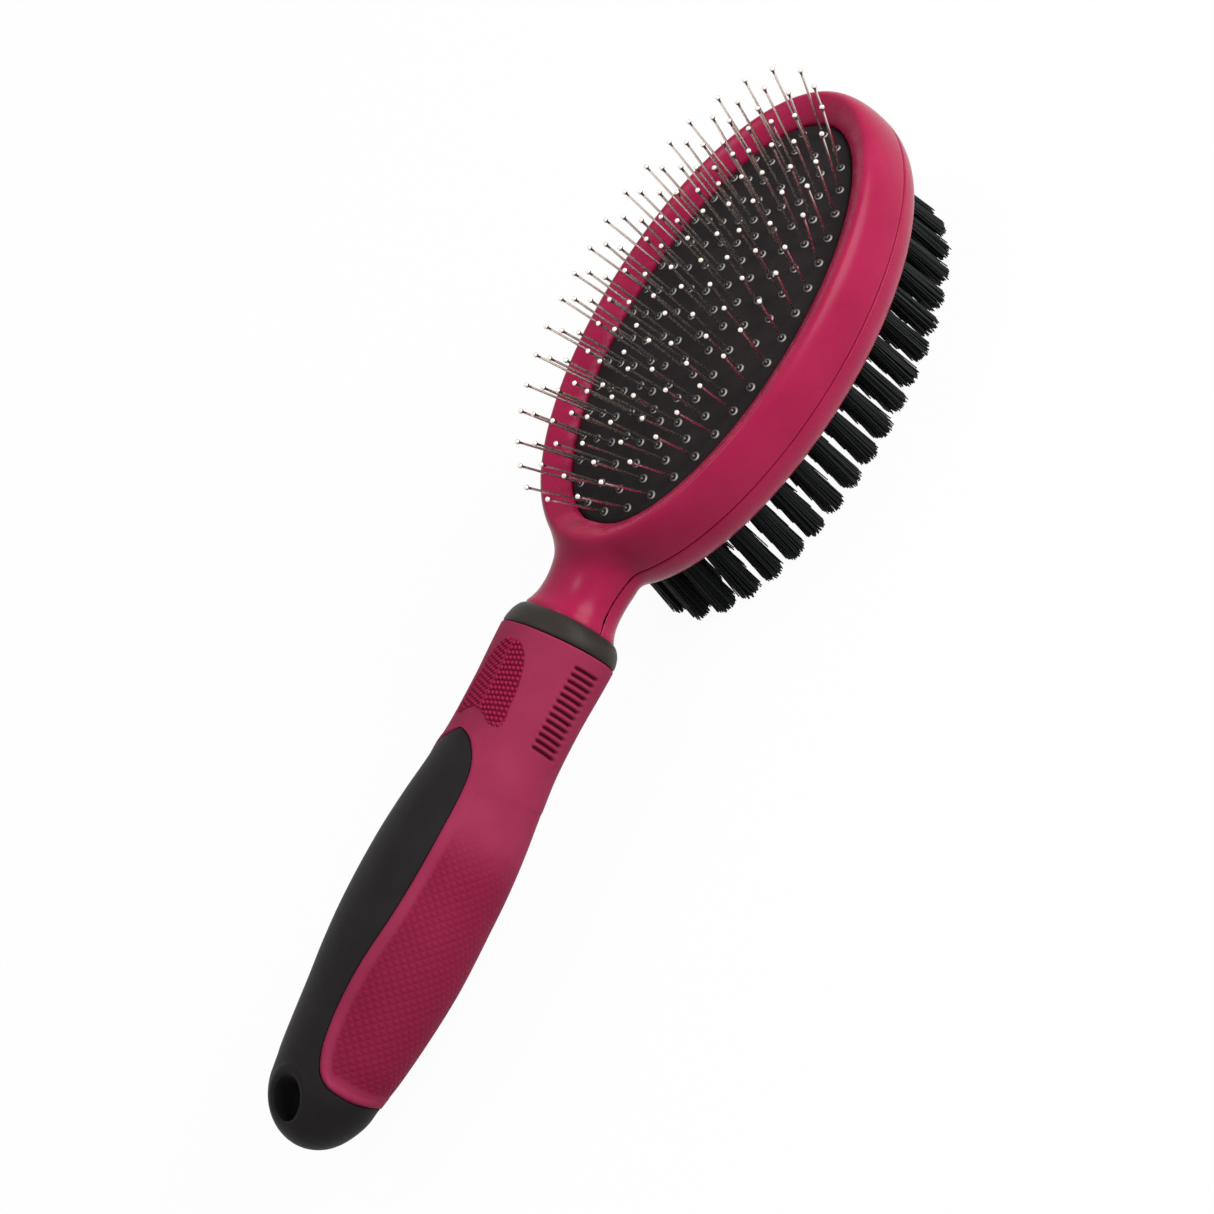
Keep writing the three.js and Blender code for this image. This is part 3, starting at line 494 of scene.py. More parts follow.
def leaning(x, rise):
    """Place along x of a point of a ring, whose plane leans back on the pin side: fully at the collar,
    and no more at a distance past the handle's front."""
    return x - COLLAR_LEAN * np.clip(1 - (HANDLE_FRONT - x) / LEAN_REACH, 0, 1) * rise


# ---- head shells


def inset_at(x, y):
    """How far inside the head's outline a point of the plan lies: the inset whose oval passes through
    it."""

    def inside(inset):
        return (x / (HALF_LENGTH - inset)) ** 2 + (y / (HALF_WIDTH - inset)) ** 2 <= 1

    return halve(inside, np.full(x.shape, OUTERMOST_INSET), np.full(x.shape, HALF_WIDTH - 1.0))


def oval_gap(across, up, width, height, power=2.0):
    """Gap from a point to an oval of those half axes: (r - 1) over the length of r's gradient, where r
    is the power mean of the point's shares of the half axes; a power above 2 makes the oval squarer."""
    wide, high = np.abs(across / width), np.abs(up / height)
    radius = (wide**power + high**power) ** (1 / power) + 1e-9
    gradient = np.hypot(wide ** (power - 1) / width, high ** (power - 1) / height) / radius ** (power - 1)
    return (radius - 1) / (gradient + 1e-9)


def front_gap(inset, up):
    """Gap to the rim: a quarter oval from the outline to the crest, and a smaller and straighter one
    down to the lip, which ends a hair before the lip's edge."""
    rising = oval_gap(RIM_CREST_INSET - inset, up, RIM_CREST_INSET, RIM_HEIGHT)
    past_crest = np.minimum(inset, LIP_INSET - HAIR) - RIM_CREST_INSET
    breadth, fall = LIP_INSET - RIM_CREST_INSET, RIM_HEIGHT - LIP_HEIGHT
    falling = oval_gap(past_crest, np.maximum(up - LIP_HEIGHT, 0), breadth, fall, FALL_POWER)
    return np.where(inset < RIM_CREST_INSET, rising, falling)


def back_gap(inset, up):
    """Gap to the back: a quarter oval from the outline, and then the flat back."""
    rising = oval_gap(BACK_EDGE_INSET - inset, up, BACK_EDGE_INSET, BACK_DEPTH)
    return np.where(inset < BACK_EDGE_INSET, rising, up - BACK_DEPTH)


# The neck at places along x: half its width, and its height above and below the middle line.
NECK = curve_through([
    (-68.0, 9.8, 8.5, 8.5), (-65.4, 9.65, 8.35, 8.35), (-63.3, 9.55, 8.25, 8.25), (-62.2, 9.1, 7.8, 7.8),
    (-60.4, 8.6, 7.3, 7.3), (-58.0, 8.4, 7.1, 7.1), (-55.5, 8.5, 7.3, 7.1), (-53.0, 8.9, 7.9, 7.1),
    (-50.0, 9.7, 9.0, 6.5), (-48.0, 10.2, 8.4, 6.1), (-46.0, 10.6, 7.0, 5.6),
])


def neck_gap(x, y, z):
    """Gap to the neck, a slightly squared oval tube whose half axes change along x, with one height
    above its middle line and another below, cut off inside the collar and under the rim."""
    width, above, below = (np.interp(x, NECK[:, 0], NECK[:, i]) for i in (1, 2, 3))
    rise = z - line_of_handle(x)
    tube = oval_gap(y, rise, width, np.where(rise > 0, above, below), NECK_POWER)
    return np.maximum(np.maximum(tube, NECK_END - x), x - NECK[-1, 0])


def smooth_union(a, b, reach):
    """The lower of two gaps, lowered further where they are within reach of each other, which rounds
    the hollow between the two forms."""
    near = np.maximum(reach - np.abs(a - b), 0) / reach
    return np.minimum(a, b) - near**2 * reach / 4


def halve(inside, low, high, steps=30):
    """Where a point leaves a form, between a value inside it and one outside, by halving."""
    for _ in range(steps):
        middle = (low + high) / 2
        within = inside(middle)
        low, high = np.where(within, middle, low), np.where(within, high, middle)
    return (low + high) / 2


def head_shell(gap_of_head, side, opening_inset, inner_rows, columns=700, rows=40):
    """Skin of one shell, all round, as rows from the seam over the outside to the opening and back
    along the inside.

    The outline at the seam is met by rays from a point near the neck, spaced evenly along its length.
    Each column runs in plan from the outline to the opening's oval, near the neck with an even change
    in its share of the outline's breadth, which keeps it inside the waist. Its height is where the
    smooth union of head and neck ends.
    """

    def gap(x, y, up, inset):
        low, high = NECK_BLEND
        reach = low + (high - low) * smooth_step(up, 1.0, 6.0) * (side > 0)
        return smooth_union(gap_of_head(inset, up), neck_gap(x, y, side * up), reach)

    def met(reach):
        return RAYS_FROM + reach * np.cos(ray), -reach * np.sin(ray)

    def within(reach):
        x, y = met(reach)
        return gap(x, y, edge, inset_at(x, y)) < 0

    edge = SEAM_EDGE + SEAM_ROUND
    ray = np.pi * (1 - np.linspace(0, 1, 1600) ** 1.3)
    x, y = met(halve(within, np.ones(ray.shape), np.full(ray.shape, RAY_LENGTH)))
    along = np.concatenate([[0], np.cumsum(np.hypot(np.diff(x), np.diff(y)))])
    even = np.linspace(0, along[-1], columns // 2 + 1)
    x, y = np.interp(even, along, x), np.interp(even, along, y)
    turn = np.arctan2(-y / HALF_WIDTH, -x / HALF_LENGTH)
    first = int(np.argmax((turn > NECK_TURN) & (x < 0)))
    turn = np.where(np.arange(len(turn)) < first, turn[first] * even / even[first], turn)
    past_end = x > NECK_END + 0.4
    breadth_x, breadth_y = x[past_end], np.abs(y[past_end]) + 1e-9
    x, y, turn = (np.concatenate([a, m * a[-2:0:-1]]) for a, m in ((x, 1), (y, -1), (turn, -1)))
    outline = np.stack([x, y], -1)
    across = np.roll(outline, -1, 0) - np.roll(outline, 1, 0)
    outward = np.stack([-across[:, 1], across[:, 0]], -1)
    outward /= np.linalg.norm(outward, axis=1)[:, None]
    outward *= np.sign((outward * (outline - [RAYS_FROM, 0])).sum(1))[:, None]

    def oval_at(inset):
        return np.stack([-(HALF_LENGTH - inset) * np.cos(turn), -(HALF_WIDTH - inset) * np.sin(turn)], -1)

    grid = []
    for roll in np.radians([0, 30, 60]):
        grid.append((outline - outward * SEAM_ROUND * (1 - np.sin(roll)), edge - SEAM_ROUND * np.cos(roll)))
    share = (1 - np.cos(np.linspace(0, np.pi, rows))) / 2
    plan = outline[None] + share[:, None, None] * (oval_at(opening_inset) - outline)[None]
    breadth = np.interp(plan[..., 0], breadth_x, breadth_y)
    part = plan[..., 1] / breadth
    part = part[:1] + share[:, None] * (part[-1:] - part[:1])
    plan[..., 1] += smooth_step(-x, *WAIST_OVER) * (part * breadth - plan[..., 1])
    inset = inset_at(plan[..., 0], plan[..., 1])
    low, high = np.full(inset.shape, edge), np.full(inset.shape, 16.0)
    up = halve(lambda h: gap(plan[..., 0], plan[..., 1], h, inset) < 0, low, high)
    grid += list(zip(plan, up))
    grid += [(oval_at(i), np.full(len(turn), h)) for i, h in inner_rows]
    points = np.array([np.column_stack([p, side * np.broadcast_to(h, len(turn))]) for p, h in grid])
    return points.reshape(-1, 3), grid_quads(len(grid), len(turn), wrap_rows=True, wrap_columns=True)


def half_tang(side, sides=20):
    """The part of a shell that runs on inside the handle: half an oval, a little smaller at its tip,
    closed at both ends."""
    taper_from, tip = -(TANG_LENGTH - 1.5), -TANG_LENGTH
    stations = [(0.0, 0.0), (0.0, 1.0), (taper_from, 1.0), (tip, 0.9), (tip, 0.0)]
    angle = np.linspace(0, np.pi, sides)
    rows = []
    for x, size in stations:
        at = NECK_END + x
        y = np.append(TANG_HALF_WIDTH * size * np.cos(angle), 0.0)
        z = side * np.maximum(np.append(TANG_HALF_HEIGHT * size * np.sin(angle), 0.0), SEAM_EDGE * size)
        rows.append(np.column_stack([np.full(y.shape, at), y, z + line_of_handle(at)]))
    points = np.array(rows)
    return points.reshape(-1, 3), grid_quads(len(stations), sides + 1, wrap_columns=True)


# Inside of each shell from its opening back to the seam, as (inset, distance from the seam).
FRONT_INSIDE = [
    (LIP_INSET, 5.4), (LIP_INSET - 0.1, 5.0), (LIP_INSET - 0.4, 4.9), (5.6, 4.9), (5.6, 2.0),
    (SHELL_WALL, 2.0), (SHELL_WALL, SEAM_EDGE),
]
BACK_INSIDE = [
    (6.5, 8.03), (6.6, 7.8), (6.6, 6.1), (4.6, 6.1), (4.3, 5.3), (3.6, 4.2), (2.9, 2.6),
    (SHELL_WALL, SEAM_EDGE),
]


def make_shells(finishes):
    """The two shells, each with its half of the tang."""
    for name, gap, side, opening, inside in (
        ("front_shell", front_gap, 1.0, LIP_INSET, FRONT_INSIDE),
        ("back_shell", back_gap, -1.0, BACK_OPENING_INSET, BACK_INSIDE),
    ):
        points, quads = joined([head_shell(gap, side, opening, inside), half_tang(side)])
        piece = make_piece(name + "_skin", points, quads, finishes["head"])
        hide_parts(name)
        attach(piece, "brush_body")


# ---- cushion and pins


def crown(share):
    """Height of the cushion at a share of its visible oval: a power curve, with a small dip at the very
    edge."""
    return LIP_HEIGHT + CROWN_HEIGHT * (1 - share**CROWN_POWER) - CROWN_DIP * smooth_step(share, 0.985, 1.0)


def places_in_rings(outermost, ring_pitch, pitch, shift, shift_step):
    """Rings of places evenly spaced along ovals one inside the other, each ring started a share of the
    pitch further on than the last."""
    fine = np.linspace(0, 2 * np.pi, 4001)
    places = []
    for index, inset in enumerate(np.arange(outermost, HALF_WIDTH - ring_pitch / 2, ring_pitch)):
        ring = oval(inset, 0.0, fine)[:, :2]
        along = np.concatenate([[0], np.cumsum(np.hypot(*np.diff(ring, axis=0).T))])
        count = round(along[-1] / pitch)
        even = along[-1] * ((np.arange(count) + shift + shift_step * index) / count % 1)
        places.append(np.column_stack([np.interp(even, along, ring[:, i]) for i in (0, 1)]))
    return places


def fanned(places, fan, up):
    """Unit directions that lean outward in proportion to the distance from the middle."""
    lean = np.tan(np.array(fan) * places / [HALF_LENGTH, HALF_WIDTH])
    direction = np.column_stack([lean, np.full(len(places), up)])
    return direction / np.linalg.norm(direction, axis=1)[:, None]


def strands(root, direction, along, radius, sides, sway=None):
    """Round strands as one array: at each distance along, a ring of that radius round the strand's
    line, moved by its sway. Where all strands are alike, along and radius are one row for all."""
    along, radius = (np.broadcast_to(a, (len(root), a.shape[-1])) for a in (along, radius))
    across = np.cross(direction, np.array([0.0, 1.0, 0.0]))
    across /= np.linalg.norm(across, axis=1)[:, None]
    other = np.cross(direction, across)
    angle = turns(sides)
    ring = np.cos(angle)[:, None] * across[:, None, None] + np.sin(angle)[:, None] * other[:, None, None]
    middle = root[:, None] + direction[:, None] * along[..., None]
    if sway is not None:
        middle = middle + sway
    points = middle[:, :, None] + ring * radius[..., None, None]
    rows = points.shape[1]
    quads = copies_of_quads(grid_quads(rows, sides, wrap_columns=True), rows * sides, len(root))
    return points.reshape(-1, 3), quads


PIN_PLACES = np.vstack(places_in_rings(CUSHION_INSET + PIN_MARGIN, PIN_RING_PITCH, PIN_PITCH, *PIN_SHIFT))
CROWN_SHARES = np.hypot(*(PIN_PLACES / [HALF_LENGTH - CUSHION_INSET, HALF_WIDTH - CUSHION_INSET]).T)
PIN_ROOTS = np.column_stack([PIN_PLACES, crown(CROWN_SHARES)])
# Section of the raised ring round a pin, as (height, radius, share of the painted glint).
PIN_RING = np.array([
    [-0.3, 0.0, 0.0], [-0.3, 1.0, 0.0], [0.0, 0.98, 0.1], [0.14, 0.86, 0.9], [0.17, 0.68, 0.9],
    [0.06, 0.48, 0.0], [-0.1, 0.0, 0.0],
])


def make_cushion(finishes):
    """Crowned pad: rings of the oval at shares from the middle to the edge, down its side to the
    flange, and back under it, with a small raised ring round each pin that carries a painted glint
    on its near side."""
    sides, ring_sides = 240, 12
    angles = turns(sides)
    half_length, half_width = HALF_LENGTH - CUSHION_INSET, HALF_WIDTH - CUSHION_INSET
    shares = np.concatenate([np.linspace(0, 0.9, 30), np.linspace(0.92, 1.0, 12)])
    x, y = np.outer(half_length * shares, np.cos(angles)), np.outer(half_width * shares, np.sin(angles))
    top = np.stack(np.broadcast_arrays(x, y, crown(shares)[:, None]), -1)
    under = [(CUSHION_INSET, FLANGE_TOP), (FLANGE_INSET, FLANGE_TOP), (FLANGE_INSET, FLANGE_BOTTOM)]
    rings = [oval(inset, z, angles) for inset, z in under]
    rings.append(np.tile([[0.0, 0.0, FLANGE_BOTTOM]], (sides, 1)))
    pad = np.concatenate([top, rings])
    body = (pad.reshape(-1, 3), grid_quads(len(pad), sides, wrap_columns=True))
    lean = fanned(PIN_PLACES, PIN_RING_FAN, 1.0)
    eyelets = strands(PIN_ROOTS, lean, PIN_RING[:, 0], PIN_RING[:, 1], ring_sides)
    # painted glint, strongest on the near side of each raised ring and faint round the rest of it
    near_side = 0.12 + 0.88 * np.maximum(np.sin(turns(ring_sides)), 0) ** 2
    on_ring = np.tile(np.outer(PIN_RING[:, 2], near_side).ravel(), len(PIN_ROOTS))
    painted_glint = np.concatenate([np.zeros(len(body[0])), on_ring])
    points, quads = joined([body, eyelets])
    piece = make_piece("air_cushion_skin", points, quads, finishes["cushion"], {"painted_glint": painted_glint})
    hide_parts("air_cushion")
    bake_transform(piece)


def make_pins(finishes):
    """Wire pins: a straight shaft from just under the rubber, and a ball of eight-sided rings at its
    end, each pin a little off its place in the fan."""
    chance = np.random.default_rng(11)
    count = len(PIN_ROOTS)
    direction = fanned(PIN_PLACES, PIN_FAN, 1.0) + chance.normal(0, 0.02, (count, 3))
    direction /= np.linalg.norm(direction, axis=1)[:, None]
    centre = PIN_LENGTH - PIN_BALL
    latitude = np.radians([-58, -32, -6, 20, 46, 70, 90])
    shaft = [-PIN_SUNK, -PIN_SUNK, centre * 0.5, centre - 1.2, centre - PIN_BALL * 0.9]
    along = np.concatenate([shaft, centre + PIN_BALL * np.sin(latitude)])
    radius = np.concatenate([[0.0], [PIN_RADIUS] * 4, PIN_BALL * np.cos(latitude)])
    longer = chance.normal(0, 0.15, (count, 1)) * (along > 0.9 * centre)
    points, quads = strands(PIN_ROOTS, direction, along + longer, radius, 8)
    piece = make_piece("wire_pins", points, quads, finishes["steel"], weld=1e-8, crease=80)
    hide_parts("pin_field")
    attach(piece, "pin_bed")


# ---- bristles


def make_tufts(name, finishes, chance, tufts, each):
    """Tufts of fine strands: each leaves a disc at its tuft's root, spreads and bends a little, and is
    cut so that the tuft's end is blunt, lower by the fourth power of the distance from its middle."""
    lean = fanned(tufts, TUFT_FAN, -1.0)
    spiral = np.arange(each)
    reach = np.sqrt((spiral + 0.5) / each)
    turn = spiral * GOLDEN_ANGLE + chance.uniform(0, 6.28, (len(tufts), 1))
    out = np.stack([reach * np.cos(turn), reach * np.sin(turn), np.zeros(turn.shape)], -1)
    root = np.column_stack([tufts, np.full(len(tufts), PAD_FACE + TUFT_SUNK)])[:, None] + out * TUFT_RADIUS
    direction = lean[:, None] + out * TUFT_SPREAD + chance.normal(0, 0.006, out.shape)
    direction = direction.reshape(-1, 3)
    direction /= np.linalg.norm(direction, axis=1)[:, None]
    root = root.reshape(-1, 3)
    count = len(root)
    rounding = np.tile(0.15 * reach**4, len(tufts))
    trimmed = BRISTLE_LENGTH + 0.5 - rounding - np.abs(chance.normal(0, 0.12, count))
    length = trimmed / -direction[:, 2]
    steps = np.array([0.0, 0.0, 0.6, 1.0, 1.0])
    bend = np.column_stack([chance.normal(0, 0.12, (count, 2)), np.zeros(count)])
    sway = bend[:, None] * (steps**2)[:, None]
    points, quads = strands(root, direction, length[:, None] * steps, STRAND_RADII, 3, sway)
    points[:, 2] = np.maximum(points[:, 2], -HEAD_CENTRE[2] + 0.02)
    shade = np.repeat(chance.random(count) ** 1.5, len(steps) * 3)
    piece = make_piece(name, points, quads, finishes["nylon"], {"shade": shade}, weld=1e-8, crease=80)
    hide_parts("bristle_field")
    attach(piece, "brush_body")


# Section of the pad, as (inset, height), from the middle of its face round to the middle of its back.
PAD_SECTION = [
    (30.4, PAD_FACE), (PAD_INSET + 0.5, PAD_FACE), (PAD_INSET + 0.15, PAD_FACE + 0.12),
    (PAD_INSET, PAD_FACE + 0.45), (PAD_INSET, -5.8), (4.9, -5.8), (4.9, -3.8), (30.4, -3.8),
]
# Section of the raised rim round a tuft, as (height, radius).
TUFT_RIM = np.array([
    [-0.2, 0.0], [-0.2, 2.1], [0.0, 2.07], [0.16, 1.95], [0.2, 1.8], [0.0, 1.65], [0.0, 0.0],
])


def make_bristles(finishes):
    """The tufts in rings, with more strands in the outermost ring, and under them the pad, as rings of
    the oval, with a small raised rim round each tuft."""
    rings_of_tufts = places_in_rings(PAD_INSET + TUFT_MARGIN, TUFT_RING_PITCH, TUFT_PITCH, *TUFT_SHIFT)
    tufts = np.vstack(rings_of_tufts)
    chance = np.random.default_rng(5)
    make_tufts("outer_tufts", finishes, chance, rings_of_tufts[0], 150)
    make_tufts("inner_tufts", finishes, chance, np.vstack(rings_of_tufts[1:]), 80)

    sides = 200
    rings = np.array([oval(inset, z, turns(sides)) for inset, z in PAD_SECTION])
    rings[0, :, :2] = rings[-1, :, :2] = 0.0
    body = (rings.reshape(-1, 3), grid_quads(len(rings), sides, wrap_columns=True))
    roots = np.column_stack([tufts, np.full(len(tufts), PAD_FACE)])
    down = np.tile([[0.0, 0.0, -1.0]], (len(tufts), 1))
    points, quads = joined([body, strands(roots, down, TUFT_RIM[:, 0], TUFT_RIM[:, 1], 14)])
    piece = make_piece("bristle_plate_skin", points, quads, finishes["plate"])
    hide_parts("bristle_plate")
    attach(piece, "brush_body")


# ---- handle

# Half thickness of the handle at distances from its front.
PROFILE = curve_through([
    (0.0, 10.55), (5.0, 10.45), (13.2, 10.2), (22.2, 10.35), (30.2, 11.1), (38.2, 12.0), (46.2, 12.6),
    (54.2, 12.8), (62.2, 12.68), (70.2, 12.25), (78.2, 11.5), (85.2, 10.7), (92.3, 9.8),
])
# Edges of the inlay seen from above, as distances out to each side of the middle line.
INLAY_TIP_AT, INLAY_TIP_OFF = 23.4, 1.8
NEAR_EDGE = curve_through([
    (INLAY_TIP_AT, -INLAY_TIP_OFF), (23.6, -1.1), (24.3, 0.7), (25.2, 2.1), (26.2, 3.1), (27.4, 4.1),
    (28.8, 4.95), (30.6, 5.7), (33.0, 6.3), (37.0, 6.9), (42.7, 7.3), (49.0, 7.5), (55.4, 7.3), (61.9, 6.6),
    (68.4, 5.45), (74.7, 4.55), (80.7, 4.1), (86.4, 4.3), (89.9, 5.15), (92.0, 6.25), (93.3, 7.8),
    (PANEL_END, 9.6),
])
FAR_EDGE = curve_through([
    (INLAY_TIP_AT, INLAY_TIP_OFF), (23.6, 2.5), (24.1, 3.4), (24.8, 4.5), (25.5, 5.9), (26.2, 7.3),
    (27.1, 8.7), (28.4, 10.0), (30.4, 10.95), (33.5, 11.5), (38.0, 12.0), (42.7, 12.35), (49.0, 12.75),
    (55.4, 12.85), (61.9, 12.75), (68.4, 12.4), (74.7, 11.9), (80.7, 11.25), (86.4, 10.6), (90.3, 10.15),
    (92.4, 10.25), (93.4, 10.6), (PANEL_END, 11.1),
])
# Half of a thumb pad's heart-shaped outline, as (distance from the handle's front, distance off middle).
THUMB_OUTLINE = curve_through([
    (3.45, 0.0), (3.8, 1.9), (4.95, 3.6), (7.0, 4.9), (10.1, 5.75), (13.2, 6.2), (16.6, 6.5),
    (18.5, 6.85), (20.1, 6.8), (21.2, 6.1), (21.5, 5.4),
], 16)
# Section of the collar, as (distance back from its front, half height, power of the oval): the bore, the
# recess, and then the cone.
COLLAR_SECTION = [
    (COLLAR_WIDTH, 6.5, 2.0), (1.8, 6.5, 2.0), (1.8, 8.55, 2.3), (0.0, 8.55, 2.3),
    (0.0, 8.75, 2.3), (0.3, 9.15, 2.25), (0.9, 9.6, 2.15), (1.7, 9.95, 2.08), (2.6, 10.25, 2.0),
    (3.4, 10.42, 2.0), (3.9, 10.45, 2.0), (4.2, 10.4, 2.0), (COLLAR_WIDTH, 10.2, 2.0),
]


def half_thickness(s):
    """Half thickness of the handle s mm from its mouth: measured along it, then carried on over a
    rounded end, where it falls as the root of 1 - share to the power 2.8."""
    straight = np.interp(s, PROFILE[:, 0], PROFILE[:, 1])
    past = np.maximum(s - ROUND_END_START, 0)
    share = np.clip(past / ROUND_END_LENGTH, 0, 1)
    return (straight - 0.12 * past) * np.sqrt(1 - share**2.8)


def handle_points(s, angle, out, side):
    """Points of the handle s mm from its front, at an angle up from its side, on an oval across it,
    then out along that oval's normal. Round the panels' lower end the points of the near side's lower
    part are drawn up towards the head. The oval's breadth is a little less over the far side's swell,
    and on the near side a little more over the swell and less at the butt."""
    if side < 0:
        drawn = window(-np.degrees(angle), -25, 40, 60, 85)
        s = s - DRAWN_UP * drawn * window(s, 80, PANEL_END, PANEL_END, 101)
        breadth = 1 + 0.056 * window(s, 52, 68, 86, 94) - 0.09 * smooth_step(s, 94, 102)
    else:
        breadth = 1 - 0.05 * window(s, 14, 34, 74, 92)
    thick = half_thickness(s)
    wide = thick * HANDLE_ASPECT * breadth
    normal_y, normal_z = np.cos(angle) / np.maximum(wide, 0.01), np.sin(angle) / np.maximum(thick, 0.01)
    length = np.hypot(normal_y, normal_z)
    y = wide * np.cos(angle) + out * normal_y / length
    z = thick * np.sin(angle) + out * normal_z / length
    x = HANDLE_FRONT - s
    return np.stack(np.broadcast_arrays(leaning(x, z), side * y, z + line_of_handle(x)), -1)


def grip_relief(s, angle, to_edge):
    """Relief of the soft grip, its grooves and its knurl: finger grooves in the side, each a bell curve
    along the handle, a raised lip along the inlay with a hollow before it, and a sunk field inside it."""
    degrees = np.degrees(angle)
    on_side = window(degrees, -9.5, -6.5, 21.5, 25.0)
    grooves = np.zeros(np.broadcast(s, angle).shape)
    for index in range(GROOVE_COUNT):
        from_groove = (s - GROOVE_START - GROOVE_PITCH * index) / GROOVE_WIDTH
        grooves += on_side * np.exp(-((from_groove**2) ** 1.5))
    flare = smooth_step(s, 24, 60)
    to_lip = np.minimum(to_edge, PANEL_END - s)
    lip = (0.1 + 0.16 * flare) * window(to_lip, 0.0, 0.45, 0.8, 1.9) * smooth_step(s, 23, 25)
    lip = lip * (1 - 0.85 * smooth_step(-degrees, 0, 30) * smooth_step(s, 80, 90))
    top = FIELD_TOP + (degrees - 5) * 0.04
    to_field = np.minimum(np.minimum(to_edge - FIELD_INSET, PANEL_END - FIELD_INSET - 0.4 - s), s - top)
    field = smooth_step(to_field, 0.0, 0.9)
    return lip - FIELD_DEPTH * field - GROOVE_DEPTH * grooves, grooves, field * smooth_step(s, 38, 50)


def grip_half(s, drop, edge, side):
    """One half of the soft sleeve, from an edge of the inlay over the side to its edge on the other
    face, closed on the inside: its points and faces, how far each point lies in a groove and in the
    knurled field, and its place round and along the handle."""
    near_edge = np.array([0.0, 0.06, 0.16, 0.32, 0.55, 0.85, 1.25])
    edge_drop = np.array([0.24, 0.15, 0.07, 0.02, 0.0, 0.0, 0.0])
    across = np.interp(s, edge[:, 0], edge[:, 1])
    wide = half_thickness(s) * HANDLE_ASPECT
    top = np.arccos(np.clip(across / wide, -1, 1))[:, None]
    margin = near_edge[None] / wide[:, None]
    middle = (top - margin[:, -1:]) * np.linspace(1, -1, 80)[None]
    angle = np.hstack([top - margin[:, :-1], middle, -(top - margin[:, :-1])[:, ::-1]])
    falls = np.concatenate([edge_drop[:-1], np.zeros(80), edge_drop[:-1][::-1]])[None]
    falls = falls * smooth_step(s, INLAY_TIP_AT, INLAY_TIP_AT + 1.0)[:, None]

    fine = np.linspace(-2.2, 2.2, 881)  # angles to either side of the grip's middle
    speed = np.hypot(HANDLE_ASPECT * np.sin(fine), np.cos(fine))
    length_round = np.concatenate([[0], np.cumsum((speed[1:] + speed[:-1]) / 2 * np.diff(fine))])
    length_round -= length_round[len(fine) // 2]
    arc, arc_top = (np.interp(a, fine, length_round) * half_thickness(s)[:, None] for a in (angle, top))
    slope = np.gradient(across, s + np.arange(len(s)) * 1e-9)
    to_edge = (arc_top - np.abs(arc)) / np.hypot(1, np.clip(slope, -3, 3))[:, None]
    to_edge = np.where(s[:, None] < INLAY_TIP_AT, 99.0, to_edge)
    relief, grooves, knurled = grip_relief(s[:, None], angle, to_edge)
    deepest = np.maximum(drop[:, None], falls)
    out = np.where(deepest > 0, np.minimum(relief, 0.12) - deepest, relief)
    out = np.where(drop[:, None] >= GRIP_DEPTH, -GRIP_DEPTH, out)

    rows, columns = angle.shape
    skin = handle_points(s[:, None], angle, out, side).reshape(-1, 3)
    lining = handle_points(s[:, None], angle, np.full(angle.shape, -GRIP_DEPTH), side).reshape(-1, 3)
    points = np.vstack([skin, lining])
    outer = grid_quads(rows, columns)
    walls = grid_quads(rows, 2)[int(np.argmax(s >= INLAY_TIP_AT - 1e-6)) :]
    top_wall = walls // 2 * columns + walls % 2 * rows * columns
    quads = np.vstack([outer, outer[:, ::-1] + rows * columns, top_wall[:, ::-1], top_wall + columns - 1])
    quads = faced_outwards(points, quads)
    fields = [np.concatenate([field.ravel(), np.zeros(rows * columns)]) for field in (grooves, knurled)]
    flat = np.stack([side * arc, np.broadcast_to(s[:, None], arc.shape)], -1).reshape(-1, 2) / 10
    return points, quads, fields, np.vstack([flat, flat])


def make_grip(finishes):
    """Soft sleeve: rows from its rounded mouth to its lower end, with both halves joined ahead of the
    inlay's tip. Rows lie closer where the grooves, the inlay's tip and the lower end need it."""
    mouth_rows = [(0.0, GRIP_DEPTH), (0.0, 0.26), (0.03, 0.15), (0.1, 0.06), (0.2, 0.01), (0.4, 0.0)]
    lengths = np.concatenate([
        np.arange(1.75, 3.2, 0.45),
        np.arange(3.2, 22.3, 0.17),
        np.linspace(22.4, INLAY_TIP_AT, 5),
        INLAY_TIP_AT + np.linspace(0.12, 1.25, 12) ** 2,
        np.arange(25.2, 31.0, 0.35),
        np.arange(31.0, 90.4, 0.62),
        PANEL_END - 0.3 - np.linspace(1.7, 0, 14) ** 2,
    ])
    end_rows = [(PANEL_END - 0.16, 0.03), (PANEL_END - 0.04, 0.1)]
    end_rows += [(PANEL_END, 0.24), (PANEL_END, GRIP_DEPTH)]
    s = np.array([r[0] + MOUTH_AT for r in mouth_rows] + list(lengths) + [r[0] for r in end_rows])
    drop = np.array([r[1] for r in mouth_rows] + [0.0] * len(lengths) + [r[1] for r in end_rows])
    near, far = grip_half(s, drop, NEAR_EDGE, -1.0), grip_half(s, drop, FAR_EDGE, 1.0)
    points, quads = joined([near[:2], far[:2]])
    grooved, knurled = (np.concatenate([near[2][i], far[2][i]]) for i in (0, 1))
    # grooved also sets the painted shade in the finger grooves
    values = {"grooved": grooved, "knurled": knurled}
    around = np.vstack([near[3], far[3]])
    piece = make_piece("grip_sleeve_skin", points, quads, finishes["grip"], values, around, weld=2e-6)
    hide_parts("grip_sleeve")
    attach(piece, "brush_body")


